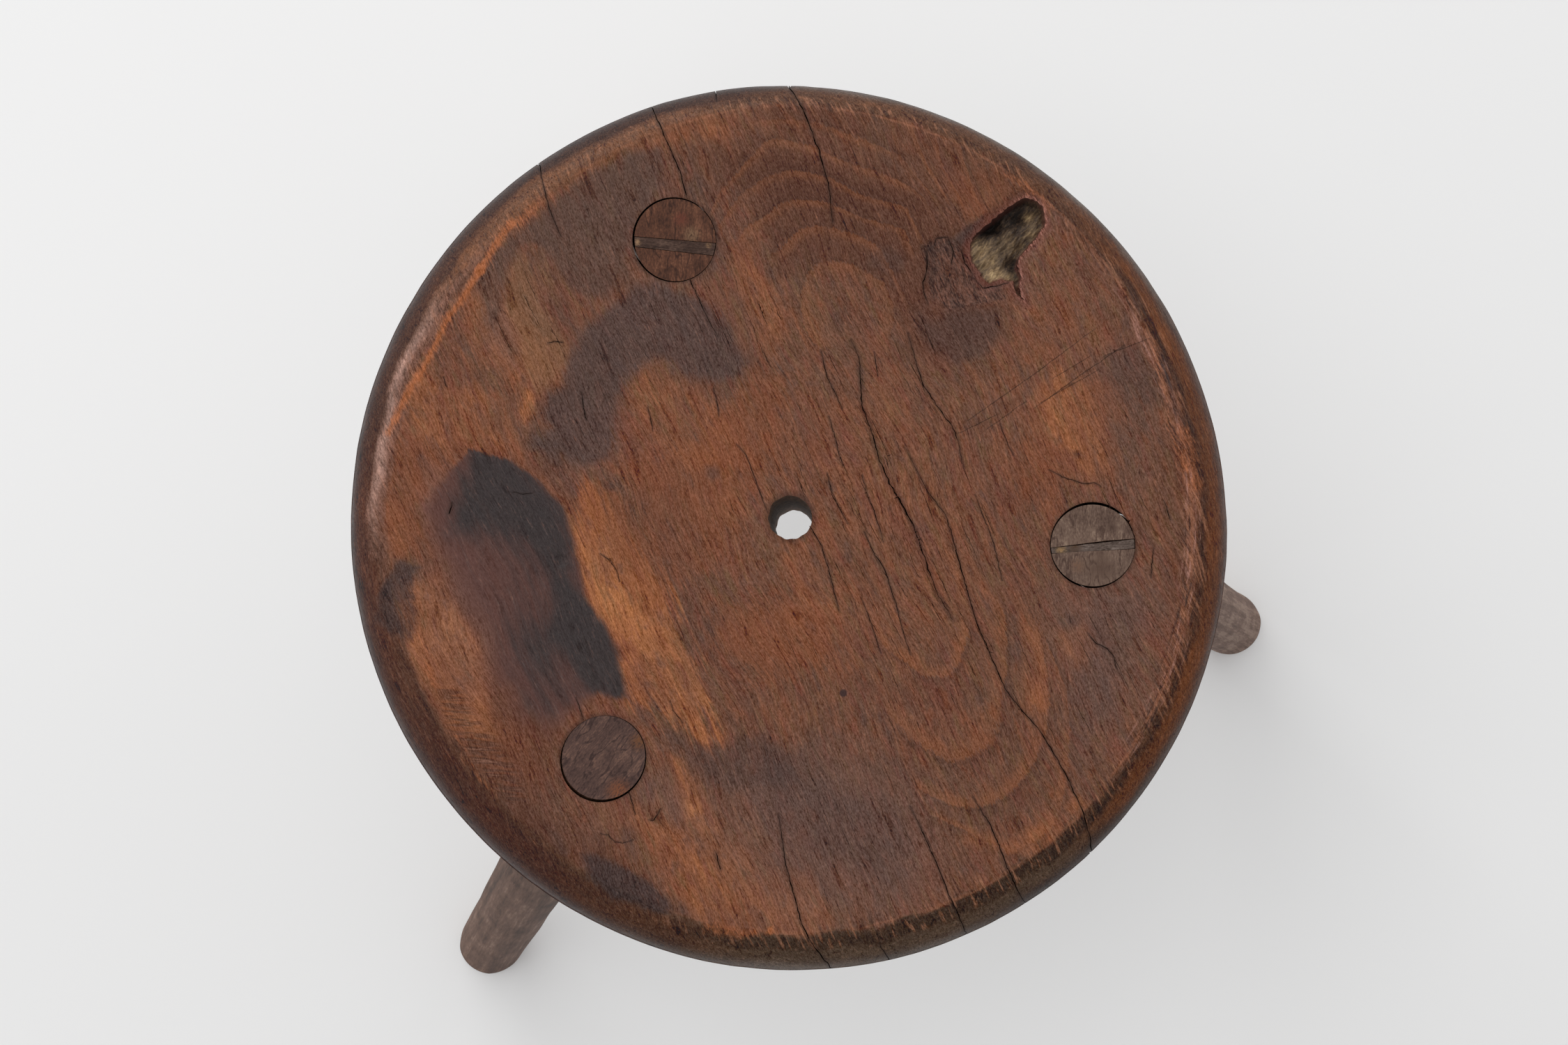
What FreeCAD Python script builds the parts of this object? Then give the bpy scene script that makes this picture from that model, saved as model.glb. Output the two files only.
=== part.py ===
import FreeCAD, Part
import math
import os

import Sketcher
from FreeCAD import Vector

# Three-legged stool: an oval plank seat on three round legs.
# Each leg ends in a round tenon that goes right through the seat, and two of the tenons are
# split by a wedge driven in from above.
# Frame: +Z is up and the floor is Z = 0. The origin is on the floor, straight below the hole
# in the middle of the seat. +X points to the right leg and +Y to the back leg.
# Lengths are in millimetres and angles in degrees. A heading is an angle in plan, from +X to +Y.

SIZES = [
    ("seat_height", 430, "floor to the seat's top"),
    ("seat_length", 325.5, "seat along the grain"),
    ("seat_width", 319.5, "seat across the grain"),
    ("seat_thickness", 38, "plank thickness"),
    ("seat_shift_x", -1, "middle of the oval from the hole, along X"),
    ("seat_shift_y", -1.5, "middle of the oval from the hole, along Y"),
    ("grain_heading", 114.6, "direction of the grain"),
    ("upper_round", 14, "radius of the worn upper edge"),
    ("lower_round", 8, "radius of the lower edge"),
    ("hole_diameter", 16, "hole in the middle of the seat"),
    ("hole_lean", 3.9, "lean of the hole from upright"),
    ("hole_heading", -49.7, "side that the hole's lower mouth leans to"),
    ("knot_x", 77, "middle of the rotted knot, along X"),
    ("knot_y", 101.5, "middle of the rotted knot, along Y"),
    ("knot_length", 36, "recess left by the knot, lengthwise"),
    ("knot_width", 16, "recess left by the knot, sideways"),
    ("knot_heading", 35, "direction of the recess"),
    ("knot_depth", 9, "depth of the recess"),
    ("pitch_radius", 110, "hole to each tenon, on the seat's top"),
    ("mortise_diameter", 30, "auger hole for a tenon"),
    ("tenon_clearance", 0.3, "gap between a tenon and its mortise, on each side"),
    ("shoulder_ledge", 1.5, "leg beyond the mortise at its thickest place, on each side"),
    ("shoulder_length", 12, "taper between the tenon and the thickest place"),
    ("shoulder_gap", 0.3, "gap between the seat and the shoulder's start, along the leg"),
    ("foot_diameter", 30, "leg at its lower end"),
    ("sawing_allowance", 12, "leg left over at each end before it is sawn level"),
    ("wedge_depth", 26, "how deep a wedge goes, along the leg"),
    ("wedge_tip", 1.2, "thickness of a wedge at its tip"),
    ("back_azimuth", 112.5, "place of the back tenon round the hole"),
    ("back_heading", 112.5, "direction that the back leg leans to"),
    ("back_splay", 13.5, "lean of the back leg from upright"),
    ("back_wedge_thickness", 3.9, "back wedge at the seat's top"),
    ("back_wedge_heading", -5, "direction of the back wedge"),
    ("back_wedge_offset", -2, "back wedge from the tenon's middle"),
    ("right_azimuth", -5.3, "place of the right tenon round the hole"),
    ("right_heading", -6, "direction that the right leg leans to"),
    ("right_splay", 12.9, "lean of the right leg from upright"),
    ("right_wedge_thickness", 2.9, "right wedge at the seat's top"),
    ("right_wedge_heading", 5, "direction of the right wedge"),
    ("right_wedge_offset", -0.7, "right wedge from the tenon's middle"),
    ("left_azimuth", 232.2, "place of the left tenon round the hole"),
    ("left_heading", 227, "direction that the left leg leans to"),
    ("left_splay", 15.5, "lean of the left leg from upright"),
]
LEGS = ["back", "right", "left"]
WEDGED_LEGS = ["back", "right"]
LEVEL_TOLERANCE = 0.01
LEAST_CUT_VOLUME = 1

TENON_RADIUS = "(sizes.mortise_diameter / 2 - sizes.tenon_clearance)"
SHOULDER_RADIUS = "(sizes.mortise_diameter / 2 + sizes.shoulder_ledge)"
TRIM_HALF_WIDTH = f"(2 * {SHOULDER_RADIUS} + sizes.sawing_allowance)"

doc = FreeCAD.newDocument("tripod_stool")
sheet = doc.addObject("Spreadsheet::Sheet", "sizes")
for row, (alias, value, meaning) in enumerate(SIZES, start=1):
    sheet.set(f"A{row}", alias)
    sheet.set(f"B{row}", str(value))
    sheet.set(f"C{row}", meaning)
    sheet.setAlias(f"B{row}", alias)
doc.recompute()


def new_body(label, place):
    """Empty body with its own label, placed by an expression."""
    body = doc.addObject("PartDesign::Body", label)
    body.Label = label
    body.setExpression("Placement", place)
    return body


def origin_feature(body, role):
    """Plane or axis of the body's own origin."""
    return next(feature for feature in body.Origin.OriginFeatures if feature.Role == role)


def new_sketch(body, name, plane, offset=None):
    """Sketch on one of the body's origin planes, moved or turned by an expression if given."""
    sketch = body.newObject("Sketcher::SketchObject", name)
    sketch.AttachmentSupport = [(origin_feature(body, plane), "")]
    sketch.MapMode = "FlatFace"
    if offset:
        sketch.setExpression("AttachmentOffset", offset)
    return sketch


def bind(sketch, constraint, expression):
    """Add a dimension to the sketch and tie its value to an expression."""
    index = sketch.addConstraint(constraint)
    name = f"size_{index}"
    sketch.renameConstraint(index, name)
    sketch.setExpression(f"Constraints.{name}", expression)


def number(expression):
    """Value of an expression, to start a sketch close to its solved form."""
    return float(sheet.evalExpression(expression))


def pinned_outline(sketch, corners):
    """Closed straight-sided outline whose corners are pinned by pairs of expressions."""
    points = [Vector(number(across), number(along), 0) for across, along in corners]
    first = sketch.GeometryCount
    for index, point in enumerate(points):
        sketch.addGeometry(Part.LineSegment(point, points[(index + 1) % len(points)]))
    for index, (across, along) in enumerate(corners):
        following = first + (index + 1) % len(points)
        sketch.addConstraint(Sketcher.Constraint("Coincident", first + index, 2, following, 1))
        bind(sketch, Sketcher.Constraint("DistanceX", -1, 1, first + index, 1, points[index].x), across)
        bind(sketch, Sketcher.Constraint("DistanceY", -1, 1, first + index, 1, points[index].y), along)


def pinned_circle(sketch, diameter):
    """Circle on the sketch's origin with its diameter tied to an expression."""
    sketch.addGeometry(Part.Circle(Vector(), Vector(0, 0, 1), number(diameter) / 2))
    sketch.addConstraint(Sketcher.Constraint("Coincident", 0, 3, -1, 1))
    bind(sketch, Sketcher.Constraint("Diameter", 0, number(diameter)), diameter)


def cut_through(body, name, sketch):
    """Cut the sketch right through the body, both ways from its plane."""
    cut = body.newObject("PartDesign::Pocket", name)
    cut.Profile = sketch
    cut.SideType = "Symmetric"
    cut.Type = "ThroughAll"


def leg_place(leg, height):
    """Place of a leg's own frame: on the tenon's axis at the given height, its Z up the leg."""
    radius = "sizes.pitch_radius"
    middle = f"{radius} * cos(sizes.{leg}_azimuth); {radius} * sin(sizes.{leg}_azimuth); {height}"
    return f"placement(vector({middle}); rotation(sizes.{leg}_heading; -sizes.{leg}_splay; 0))"


def cut_knot(body):
    """Round-ended recess in the seat's top, where a dead knot has rotted away."""
    middle = "vector(sizes.knot_x; sizes.knot_y; 0)"
    outline = new_sketch(body, "knot_outline", "XY_Plane",
                         f"placement({middle}; rotation(sizes.knot_heading; 0; 0))")
    half_side = "(sizes.knot_length - sizes.knot_width) / 2"
    reach = number(half_side)
    end_radius = number("sizes.knot_width / 2")
    quarter_turn = math.pi / 2
    for side in (1, -1):
        ring = Part.Circle(Vector(side * reach, 0, 0), Vector(0, 0, 1), end_radius)
        outline.addGeometry(Part.ArcOfCircle(ring, -side * quarter_turn, (2 - side) * quarter_turn))
    for side in (1, -1):
        start = Vector(side * reach, side * end_radius, 0)
        outline.addGeometry(Part.LineSegment(start, Vector(-start.x, start.y, 0)))
    right_end, left_end, far_side, near_side = range(4)
    for arc, arc_point, line, line_point in ((right_end, 2, far_side, 1), (left_end, 1, far_side, 2),
                                             (left_end, 2, near_side, 1), (right_end, 1, near_side, 2)):
        outline.addConstraint(Sketcher.Constraint("Tangent", arc, arc_point, line, line_point))
    for arc, side, place in ((right_end, 1, half_side), (left_end, -1, f"-{half_side}")):
        outline.addConstraint(Sketcher.Constraint("PointOnObject", arc, 3, -1))
        bind(outline, Sketcher.Constraint("DistanceX", -1, 1, arc, 3, side * reach), place)
    bind(outline, Sketcher.Constraint("Radius", right_end, end_radius), "sizes.knot_width / 2")
    recess = body.newObject("PartDesign::Pocket", "knot_recess")
    recess.Profile = outline
    recess.setExpression("Length", "sizes.knot_depth")


def make_seat():
    """Oval plank with rounded edges, a leaning hole, three splayed mortises and a knot recess."""
    body = new_body("seat", "placement(vector(0; 0; sizes.seat_height); rotation(0; 0; 0))")

    middle = "vector(sizes.seat_shift_x; sizes.seat_shift_y; 0)"
    outline = new_sketch(body, "seat_outline", "XY_Plane",
                         f"placement({middle}; rotation(sizes.grain_heading; 0; 0))")
    ends = {"sizes.seat_length": Vector(number("sizes.seat_length / 2"), 0, 0),
            "sizes.seat_width": Vector(0, number("sizes.seat_width / 2"), 0)}
    longer, shorter = sorted(ends, key=number, reverse=True)
    outline.addGeometry(Part.Ellipse(ends[longer], ends[shorter], Vector()))
    outline.exposeInternalGeometry(0)
    long_axis, short_axis = 1, 2
    direction = "Horizontal" if longer == "sizes.seat_length" else "Vertical"
    outline.addConstraint(Sketcher.Constraint("Coincident", 0, 3, -1, 1))
    outline.addConstraint(Sketcher.Constraint(direction, long_axis))
    bind(outline, Sketcher.Constraint("Distance", long_axis, number(longer)), longer)
    bind(outline, Sketcher.Constraint("Distance", short_axis, number(shorter)), shorter)

    plank = body.newObject("PartDesign::Pad", "seat_plank")
    plank.Profile = outline
    plank.Reversed = True
    plank.setExpression("Length", "sizes.seat_thickness")
    doc.recompute()

    edges = {"upper_round": 0, "lower_round": -number("sizes.seat_thickness")}
    for size, level in edges.items():
        base = body.Tip
        names = [f"Edge{index}" for index, edge in enumerate(base.Shape.Edges, start=1)
                 if abs(edge.BoundBox.Center.z - level) + edge.BoundBox.ZLength < LEVEL_TOLERANCE]
        rounding = body.newObject("PartDesign::Fillet", f"seat_{size}")
        rounding.Base = (base, names)
        rounding.setExpression("Radius", f"sizes.{size}")
        doc.recompute()

    lean = "rotation(sizes.hole_heading; -sizes.hole_lean; 0)"
    mouth = new_sketch(body, "hole_mouth", "XY_Plane", f"placement(vector(0; 0; 0); {lean})")
    pinned_circle(mouth, "sizes.hole_diameter")
    cut_through(body, "hole", mouth)

    for leg in LEGS:
        section = new_sketch(body, f"{leg}_mortise_section", "XY_Plane", leg_place(leg, "0"))
        pinned_circle(section, "sizes.mortise_diameter")
        cut_through(body, f"{leg}_mortise", section)

    cut_knot(body)
    return body


def trim_ends(body, leg, level_feet):
    """Saw the top level with the seat and, where asked, the lower end level with the floor."""
    level = f"placement(vector(0; 0; 0); rotation(-sizes.{leg}_splay; 0; 0))"
    saw_cuts = new_sketch(body, f"{body.Label}_saw_cuts", "XZ_Plane", level)
    half = TRIM_HALF_WIDTH
    above = "2 * sizes.sawing_allowance"
    pinned_outline(saw_cuts, [(f"-{half}", "0"), (half, "0"), (half, above), (f"-{half}", above)])
    if level_feet:
        foot = f"sizes.seat_height * tan(sizes.{leg}_splay)"
        floor = "-sizes.seat_height"
        below = "-sizes.seat_height - 2 * sizes.sawing_allowance"
        pinned_outline(saw_cuts, [(f"{foot} - {half}", below), (f"{foot} + {half}", below),
                                  (f"{foot} + {half}", floor), (f"{foot} - {half}", floor)])
    cut_through(body, f"{body.Label}_trimmed", saw_cuts)


def wedge_profile(body, leg):
    """Sketch of a wedge's taper, seen along the wedge: level with the leg's axis, tip down."""
    turn = f"sizes.{leg}_wedge_heading - sizes.{leg}_heading + 90"
    taper = new_sketch(body, f"{body.Label}_taper", "XZ_Plane",
                       f"placement(vector(0; 0; 0); rotation(0; {turn}; 0))")
    thickness = f"sizes.{leg}_wedge_thickness"
    growth = f"({thickness} - sizes.wedge_tip) * sizes.sawing_allowance / sizes.wedge_depth"
    head_half = f"({thickness} + {growth}) / 2"
    tip_half = "sizes.wedge_tip / 2"
    offset = f"sizes.{leg}_wedge_offset"
    pinned_outline(taper, [(f"{offset} - {tip_half}", "-sizes.wedge_depth"),
                           (f"{offset} + {tip_half}", "-sizes.wedge_depth"),
                           (f"{offset} + {head_half}", "sizes.sawing_allowance"),
                           (f"{offset} - {head_half}", "sizes.sawing_allowance")])
    return taper


def make_leg(leg):
    """Round leg: tenon, short shoulder taper, long taper to the foot, and a kerf if it is wedged."""
    body = new_body(f"leg_{leg}", leg_place(leg, "sizes.seat_height"))
    lean = f"sizes.{leg}_splay"
    mouth_rise = f"sizes.mortise_diameter / 2 * sin({lean})"
    shoulder_start = f"-((sizes.seat_thickness + {mouth_rise}) / cos({lean}) + sizes.shoulder_gap)"
    lower_end = f"-(sizes.seat_height / cos({lean}) + sizes.sawing_allowance)"
    profile = new_sketch(body, f"{body.Label}_profile", "XZ_Plane")
    pinned_outline(profile, [("0", lower_end),
                             ("sizes.foot_diameter / 2", lower_end),
                             (SHOULDER_RADIUS, f"{shoulder_start} - sizes.shoulder_length"),
                             (TENON_RADIUS, shoulder_start),
                             (TENON_RADIUS, "sizes.sawing_allowance"),
                             ("0", "sizes.sawing_allowance")])
    stick = body.newObject("PartDesign::Revolution", f"{body.Label}_stick")
    stick.Profile = profile
    stick.ReferenceAxis = (profile, ["V_Axis"])
    stick.Angle = 360
    trim_ends(body, leg, level_feet=True)
    if leg in WEDGED_LEGS:
        cut_through(body, f"{body.Label}_kerf", wedge_profile(body, leg))
    return body


def make_wedge(leg):
    """Wedge that fills the kerf of a tenon, with its ends rounded to the tenon."""
    body = new_body(f"wedge_{leg}", leg_place(leg, "sizes.seat_height"))
    blank = body.newObject("PartDesign::Pad", f"{body.Label}_blank")
    blank.Profile = wedge_profile(body, leg)
    blank.SideType = "Symmetric"
    blank.setExpression("Length", "2 * sizes.mortise_diameter")
    outside = new_sketch(body, f"{body.Label}_outside", "XZ_Plane")
    far = "2 * sizes.mortise_diameter"
    low = "-(sizes.wedge_depth + sizes.sawing_allowance)"
    high = "2 * sizes.sawing_allowance"
    pinned_outline(outside, [(TENON_RADIUS, low), (far, low), (far, high), (TENON_RADIUS, high)])
    ends = body.newObject("PartDesign::Groove", f"{body.Label}_round_ends")
    ends.Profile = outside
    ends.ReferenceAxis = (outside, ["V_Axis"])
    ends.Angle = 360
    trim_ends(body, leg, level_feet=False)
    return body


bodies = [make_seat()]
bodies += [make_leg(leg) for leg in LEGS]
bodies += [make_wedge(leg) for leg in WEDGED_LEGS]
doc.recompute()

for item in doc.Objects:
    if "Invalid" in item.State or "Error" in item.State:
        raise RuntimeError(f"{item.Name} failed: {item.State}")
    if item.TypeId in ("PartDesign::Pocket", "PartDesign::Groove"):
        if item.Shape.Volume > item.BaseFeature.Shape.Volume - LEAST_CUT_VOLUME:
            raise RuntimeError(f"{item.Name} cuts nothing")
for body in bodies:
    if body.Shape.isNull() or not body.Shape.isValid() or len(body.Shape.Solids) != 1:
        raise RuntimeError(f"{body.Label} is not one sound solid")

os.makedirs("parts", exist_ok=True)
for body in bodies:
    body.Shape.exportStep(f"parts/{body.Label}.step")
    box = body.Shape.optimalBoundingBox()
    spans = f"{box.XLength:.1f} x {box.YLength:.1f} x {box.ZLength:.1f}"
    print(f"{body.Label}: {spans} mm, {body.Shape.Volume / 1000:.1f} cm3, Z {box.ZMin:.2f} to {box.ZMax:.2f}")
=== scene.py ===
# %% [markdown]
# # An old three-legged stool
# A plank seat, worn round at the edge, stands on three splayed legs. Each leg goes right through the
# seat, and two of the leg ends are spread by a wedge. The lesson builds the six pieces over a CAD frame
# that fixes where they are, and then spends most of its time on the wood: splits, a rotted knot, a burn
# and years of polish.

# %% Load the frame
import math
import random

import bpy
import numpy as np
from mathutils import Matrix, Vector, noise


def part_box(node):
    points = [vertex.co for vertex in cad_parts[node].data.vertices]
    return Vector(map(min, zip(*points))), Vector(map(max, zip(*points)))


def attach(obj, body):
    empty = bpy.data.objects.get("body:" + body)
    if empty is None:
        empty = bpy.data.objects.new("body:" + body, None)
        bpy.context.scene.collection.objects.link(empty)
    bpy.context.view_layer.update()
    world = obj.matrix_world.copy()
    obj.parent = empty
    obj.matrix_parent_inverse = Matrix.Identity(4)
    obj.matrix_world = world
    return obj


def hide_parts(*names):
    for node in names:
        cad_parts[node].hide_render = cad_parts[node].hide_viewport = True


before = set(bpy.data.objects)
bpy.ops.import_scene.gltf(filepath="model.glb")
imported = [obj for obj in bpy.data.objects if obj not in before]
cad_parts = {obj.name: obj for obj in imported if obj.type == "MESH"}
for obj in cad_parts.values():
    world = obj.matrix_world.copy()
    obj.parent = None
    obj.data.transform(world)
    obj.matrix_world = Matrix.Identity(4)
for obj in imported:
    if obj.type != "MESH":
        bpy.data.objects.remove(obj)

MM = 0.001
# Noise vectors start from the clock unless they get a seed, and every run has to give the same stool.
NOISE_SEED = 3
noise.seed_set(NOISE_SEED)
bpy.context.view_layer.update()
bpy.ops.object.select_all(action="DESELECT")

# %% [markdown]
# ## The view
# The stool was seen from a standing person's eye level, almost straight down. A camera that points down
# shows +Y at the top of the picture, so only a small tilt is needed.

# %% Camera
CAMERA_PLACE = (14.11, -91.02, 1693.0)
CAMERA_TILT = (4.0417, 0.7415, 0.0262)
CAMERA_LENS = 80.16
SENSOR_WIDTH = 36.0

bpy.ops.object.camera_add(location=[value * MM for value in CAMERA_PLACE],
                          rotation=[math.radians(value) for value in CAMERA_TILT])
camera = bpy.context.object
camera.name = "camera"
camera.data.lens = CAMERA_LENS
camera.data.sensor_width = SENSOR_WIDTH
bpy.context.scene.camera = camera
bpy.context.scene.view_settings.view_transform = "Standard"
print("camera at", CAMERA_PLACE, "mm with a lens of", CAMERA_LENS, "mm")

# %% [markdown]
# ## Node helpers
# A finish is a tree of nodes. These helpers keep each step of a finish to one readable line: a node is
# added, its options are set, and each input gets a plain value or a link. Colours are written as the eye
# reads them, from 0 to 255, and turned into the linear values that a shader works with. A polished
# surface adds a pale veil of reflected light to any colour, so a wood colour is written as it looks in
# use and the veil is taken off here.

# %% Helpers for materials
GLOSS_VEIL = 0.013


def paint(red, green, blue, veil=0.0):
    """Linear colour for a shader from a colour as it looks on a screen."""
    def linear(value):
        part = value / 255
        light = part / 12.92 if part <= 0.04045 else ((part + 0.055) / 1.055) ** 2.4
        return max(light - veil, 0.002)
    return (linear(red), linear(green), linear(blue), 1.0)


def wood(red, green, blue):
    """Colour under polish, from the colour that the polished wood shows."""
    return paint(red, green, blue, GLOSS_VEIL)


def grey(level):
    """Plain grey, which carries a number where a colour is asked for."""
    return (level, level, level, 1.0)


def new_finish(name):
    """Empty material with its node tree and its shader."""
    material = bpy.data.materials.new(name)
    material.use_nodes = True
    nodes = material.node_tree.nodes
    return material, material.node_tree, nodes["Principled BSDF"]


def draw_in(chosen):
    """Choose the node tree that the helpers below add to."""
    global tree
    tree = chosen


def add_node(kind, inputs=None, **settings):
    """Add a node, set its options, and fill its inputs with values or links."""
    made = tree.nodes.new(kind)
    for name, value in settings.items():
        setattr(made, name, value)
    for key, value in (inputs or {}).items():
        if isinstance(value, bpy.types.NodeSocket):
            tree.links.new(value, made.inputs[key])
        else:
            made.inputs[key].default_value = value
    return made


def feed(shader, **values):
    """Fill a shader's inputs with values or links; an input's name has _ for each space."""
    for name, value in values.items():
        socket = shader.inputs[name.replace("_", " ")]
        if isinstance(value, bpy.types.NodeSocket):
            tree.links.new(value, socket)
        else:
            socket.default_value = value


def calculate(operation, first, second=0.0, third=0.0):
    """One step of arithmetic between values or sockets."""
    inputs = {0: first, 1: second, 2: third}
    return add_node("ShaderNodeMath", inputs, operation=operation).outputs[0]


def times(first, second):
    """Product of two values or sockets."""
    return calculate("MULTIPLY", first, second)


def weighted_sum(start, parts):
    """Start value plus each part's weight times the distance of its value from its middle."""
    total = start
    for weight, value, middle in parts:
        offset = calculate("SUBTRACT", value, middle)
        total = calculate("MULTIPLY_ADD", offset, weight, total)
    return total


def blend(amount, under, over, how="MIX"):
    """Lay one colour over another by an amount from 0 to 1."""
    inputs = {0: amount, 6: under, 7: over}
    mix = add_node("ShaderNodeMix", inputs, data_type="RGBA", blend_type=how)
    return mix.outputs[2]


def span(value, low, high, to_low=0.0, to_high=1.0):
    """Turn the range low to high of a value into another range, with soft ends."""
    inputs = {0: value, 1: low, 2: high, 3: to_low, 4: to_high}
    return add_node("ShaderNodeMapRange", inputs, interpolation_type="SMOOTHSTEP").outputs[0]


def shades(value, stops):
    """Read a colour from a row of (place, colour) stops."""
    made = add_node("ShaderNodeValToRGB", {0: value})
    row = made.color_ramp.elements
    while len(row) < len(stops):
        row.new(0.5)
    for element, (place, colour) in zip(row, stops):
        element.position = place
        element.color = colour
    return made.outputs[0]


def grain_noise(space, stretch, detail=3.0, rough=0.55):
    """Noise drawn out along the grain: stretch is cycles per mm along, across and through the wood."""
    place = add_node("ShaderNodeMapping", {"Vector": space, "Scale": stretch}).outputs[0]
    inputs = {"Vector": place, "Scale": 1.0, "Detail": detail, "Roughness": rough}
    return add_node("ShaderNodeTexNoise", inputs).outputs[0]


def relief_of(height, strength, distance):
    """Small bumps for a shader's normal, from a height and its size in mm."""
    inputs = {"Strength": strength, "Distance": distance * MM, "Height": height}
    return add_node("ShaderNodeBump", inputs).outputs[0]


def mark(name, output="Fac"):
    """One of the piece's own attributes: a number, or else a Vector or a Color."""
    return add_node("ShaderNodeAttribute", attribute_name=name).outputs[output]


# %% [markdown]
# ## Floor and light
# The picture is lit like a catalogue photograph: white all round, and a little brighter from the upper
# left. A white floor bounces light up under the seat. The floor's colour is a little darker in front, as
# painted shade where the light falls off. The floor is a background too, so part of what the camera and
# reflections see of it is plain white, which keeps the shadow soft and pale.

# %% Floor
FLOOR_SIDE = 8.0
# Painted shade: the floor's colour fades from the back to a little darker in front.
FLOOR_BACK = paint(250, 250, 250)
FLOOR_FRONT = paint(247, 247, 247)
FLOOR_SHADE_FADE = (-0.15, 0.15)
FLOOR_LIFT = 0.12

bpy.ops.mesh.primitive_plane_add(size=FLOOR_SIDE)
floor = bpy.context.object
floor.name = "floor"
floor_paper, floor_tree, shader = new_finish("floor_paper")
draw_in(floor_tree)
floor_place = add_node("ShaderNodeTexCoord").outputs["Object"]
floor_depth = add_node("ShaderNodeSeparateXYZ", {0: floor_place}).outputs["Y"]
floor_white = blend(span(floor_depth, *FLOOR_SHADE_FADE), FLOOR_FRONT, FLOOR_BACK)
feed(shader, Base_Color=floor_white, Roughness=0.9, Specular_IOR_Level=0.0)
plain_white = add_node("ShaderNodeEmission", {"Color": floor_white}).outputs[0]
ray = add_node("ShaderNodeLightPath").outputs
seen = calculate("MAXIMUM", ray["Is Camera Ray"], ray["Is Glossy Ray"])
seen = calculate("MAXIMUM", seen, ray["Is Transmission Ray"])
lifted = add_node("ShaderNodeMixShader", {
    0: times(seen, FLOOR_LIFT),
    1: shader.outputs[0],
    2: plain_white,
}).outputs[0]
feed(tree.nodes["Material Output"], Surface=lifted)
floor.data.materials.append(floor_paper)
print("floor", FLOOR_SIDE, "m wide")

# %% [markdown]
# The world is brighter at the upper left and darker in front, so the rounded edge of the seat shows a
# light band on the left and a dark one at the front.

# %% World
WORLD_LIGHT = 0.84
LIGHT_HEADING = 116.0

world = bpy.data.worlds.new("studio")
bpy.context.scene.world = world
world.use_nodes = True
draw_in(world.node_tree)
direction = add_node("ShaderNodeTexCoord").outputs["Generated"]
toward_light = add_node("ShaderNodeVectorMath", {
    0: direction,
    1: (math.cos(math.radians(LIGHT_HEADING)), math.sin(math.radians(LIGHT_HEADING)), 0.10),
}, operation="DOT_PRODUCT").outputs["Value"]
sky = shades(span(toward_light, -1.0, 1.0), [
    (0.0, (0.30, 0.30, 0.31, 1)),
    (0.5, (0.80, 0.80, 0.80, 1)),
    (1.0, (1.10, 1.10, 1.09, 1)),
])
feed(tree.nodes["Background"], Color=sky, Strength=WORLD_LIGHT)
print("world strength", WORLD_LIGHT)

# %% [markdown]
# Two lamps make the shadows. The ceiling lamp is almost overhead, so the seat's own shadow stays under it
# and only a soft halo shows. It is kept out of reflections, or the polish would mirror it straight into
# the camera. The softbox stands further down and draws the light along the rounded edge.

# %% Lamps
LAMPS = {
    "softbox": {"heading": LIGHT_HEADING, "lean": 52.0, "size": (1.5, 0.8), "power": 8.0, "mirrored": True},
    "ceiling": {"heading": 155.0, "lean": 8.0, "size": (1.0, 1.0), "power": 9.0, "mirrored": False},
}
LAMP_DISTANCE = 2.4

for name, lamp in LAMPS.items():
    heading = math.radians(lamp["heading"])
    lean = math.radians(lamp["lean"])
    place = Vector((math.sin(lean) * math.cos(heading), math.sin(lean) * math.sin(heading), math.cos(lean)))
    bpy.ops.object.light_add(type="AREA", location=place * LAMP_DISTANCE)
    light = bpy.context.object
    light.name = name
    light.data.shape = "RECTANGLE"
    light.data.size, light.data.size_y = lamp["size"]
    light.data.energy = lamp["power"]
    light.visible_glossy = lamp["mirrored"]
    light.rotation_euler = place.to_track_quat("Z", "Y").to_euler()
    print(name, "of", lamp["power"], "W leaning", lamp["lean"], "degrees from overhead")

# %% [markdown]
# ## Modelling helpers
# Operators act on the active object and on what is selected, so each helper first says which piece it
# means. Places are read and written in mm, as one table with a row per point.


# %% Helpers for modelling
def only(piece):
    """Make one object the only one selected, and the active one."""
    bpy.ops.object.select_all(action="DESELECT")
    piece.select_set(True)
    bpy.context.view_layer.objects.active = piece


def named(name):
    """Name the object that was just added."""
    piece = bpy.context.object
    piece.name = name
    piece.data.name = name
    return piece


def apply_modifiers(piece):
    """Apply every modifier of the piece, in order."""
    only(piece)
    for modifier in list(piece.modifiers):
        bpy.ops.object.modifier_apply(modifier=modifier.name)


def settle(piece):
    """Put the object's place, turn and scale into its mesh."""
    only(piece)
    bpy.ops.object.transform_apply(location=True, rotation=True, scale=True)


def point_table(piece):
    """Places of the piece's points, in mm, with a row per point."""
    flat = np.empty(len(piece.data.vertices) * 3, np.float32)
    piece.data.vertices.foreach_get("co", flat)
    return flat.reshape(-1, 3).astype(float) / MM


def place_points(piece, places):
    """Move the piece's points to the given places, in mm."""
    piece.data.vertices.foreach_set("co", (np.asarray(places) * MM).astype(np.float32).ravel())
    piece.data.update()


MERGE_DISTANCE = 0.002
SMOOTH_ANGLE = 40.0


def edit_all(piece):
    """Go into edit mode on a piece, with all of it selected."""
    only(piece)
    bpy.ops.object.mode_set(mode="EDIT")
    bpy.ops.mesh.select_all(action="SELECT")


def end_edit():
    """Leave edit mode."""
    bpy.ops.object.mode_set(mode="OBJECT")


def clean_up(piece):
    """Merge points that coincide and turn all faces outwards."""
    edit_all(piece)
    bpy.ops.mesh.remove_doubles(threshold=MERGE_DISTANCE * MM)
    bpy.ops.mesh.normals_make_consistent(inside=False)
    end_edit()


def shade_smooth(piece):
    """Shade a piece smooth, apart from its sharp edges."""
    only(piece)
    bpy.ops.object.shade_smooth_by_angle(angle=math.radians(SMOOTH_ANGLE))


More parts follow.
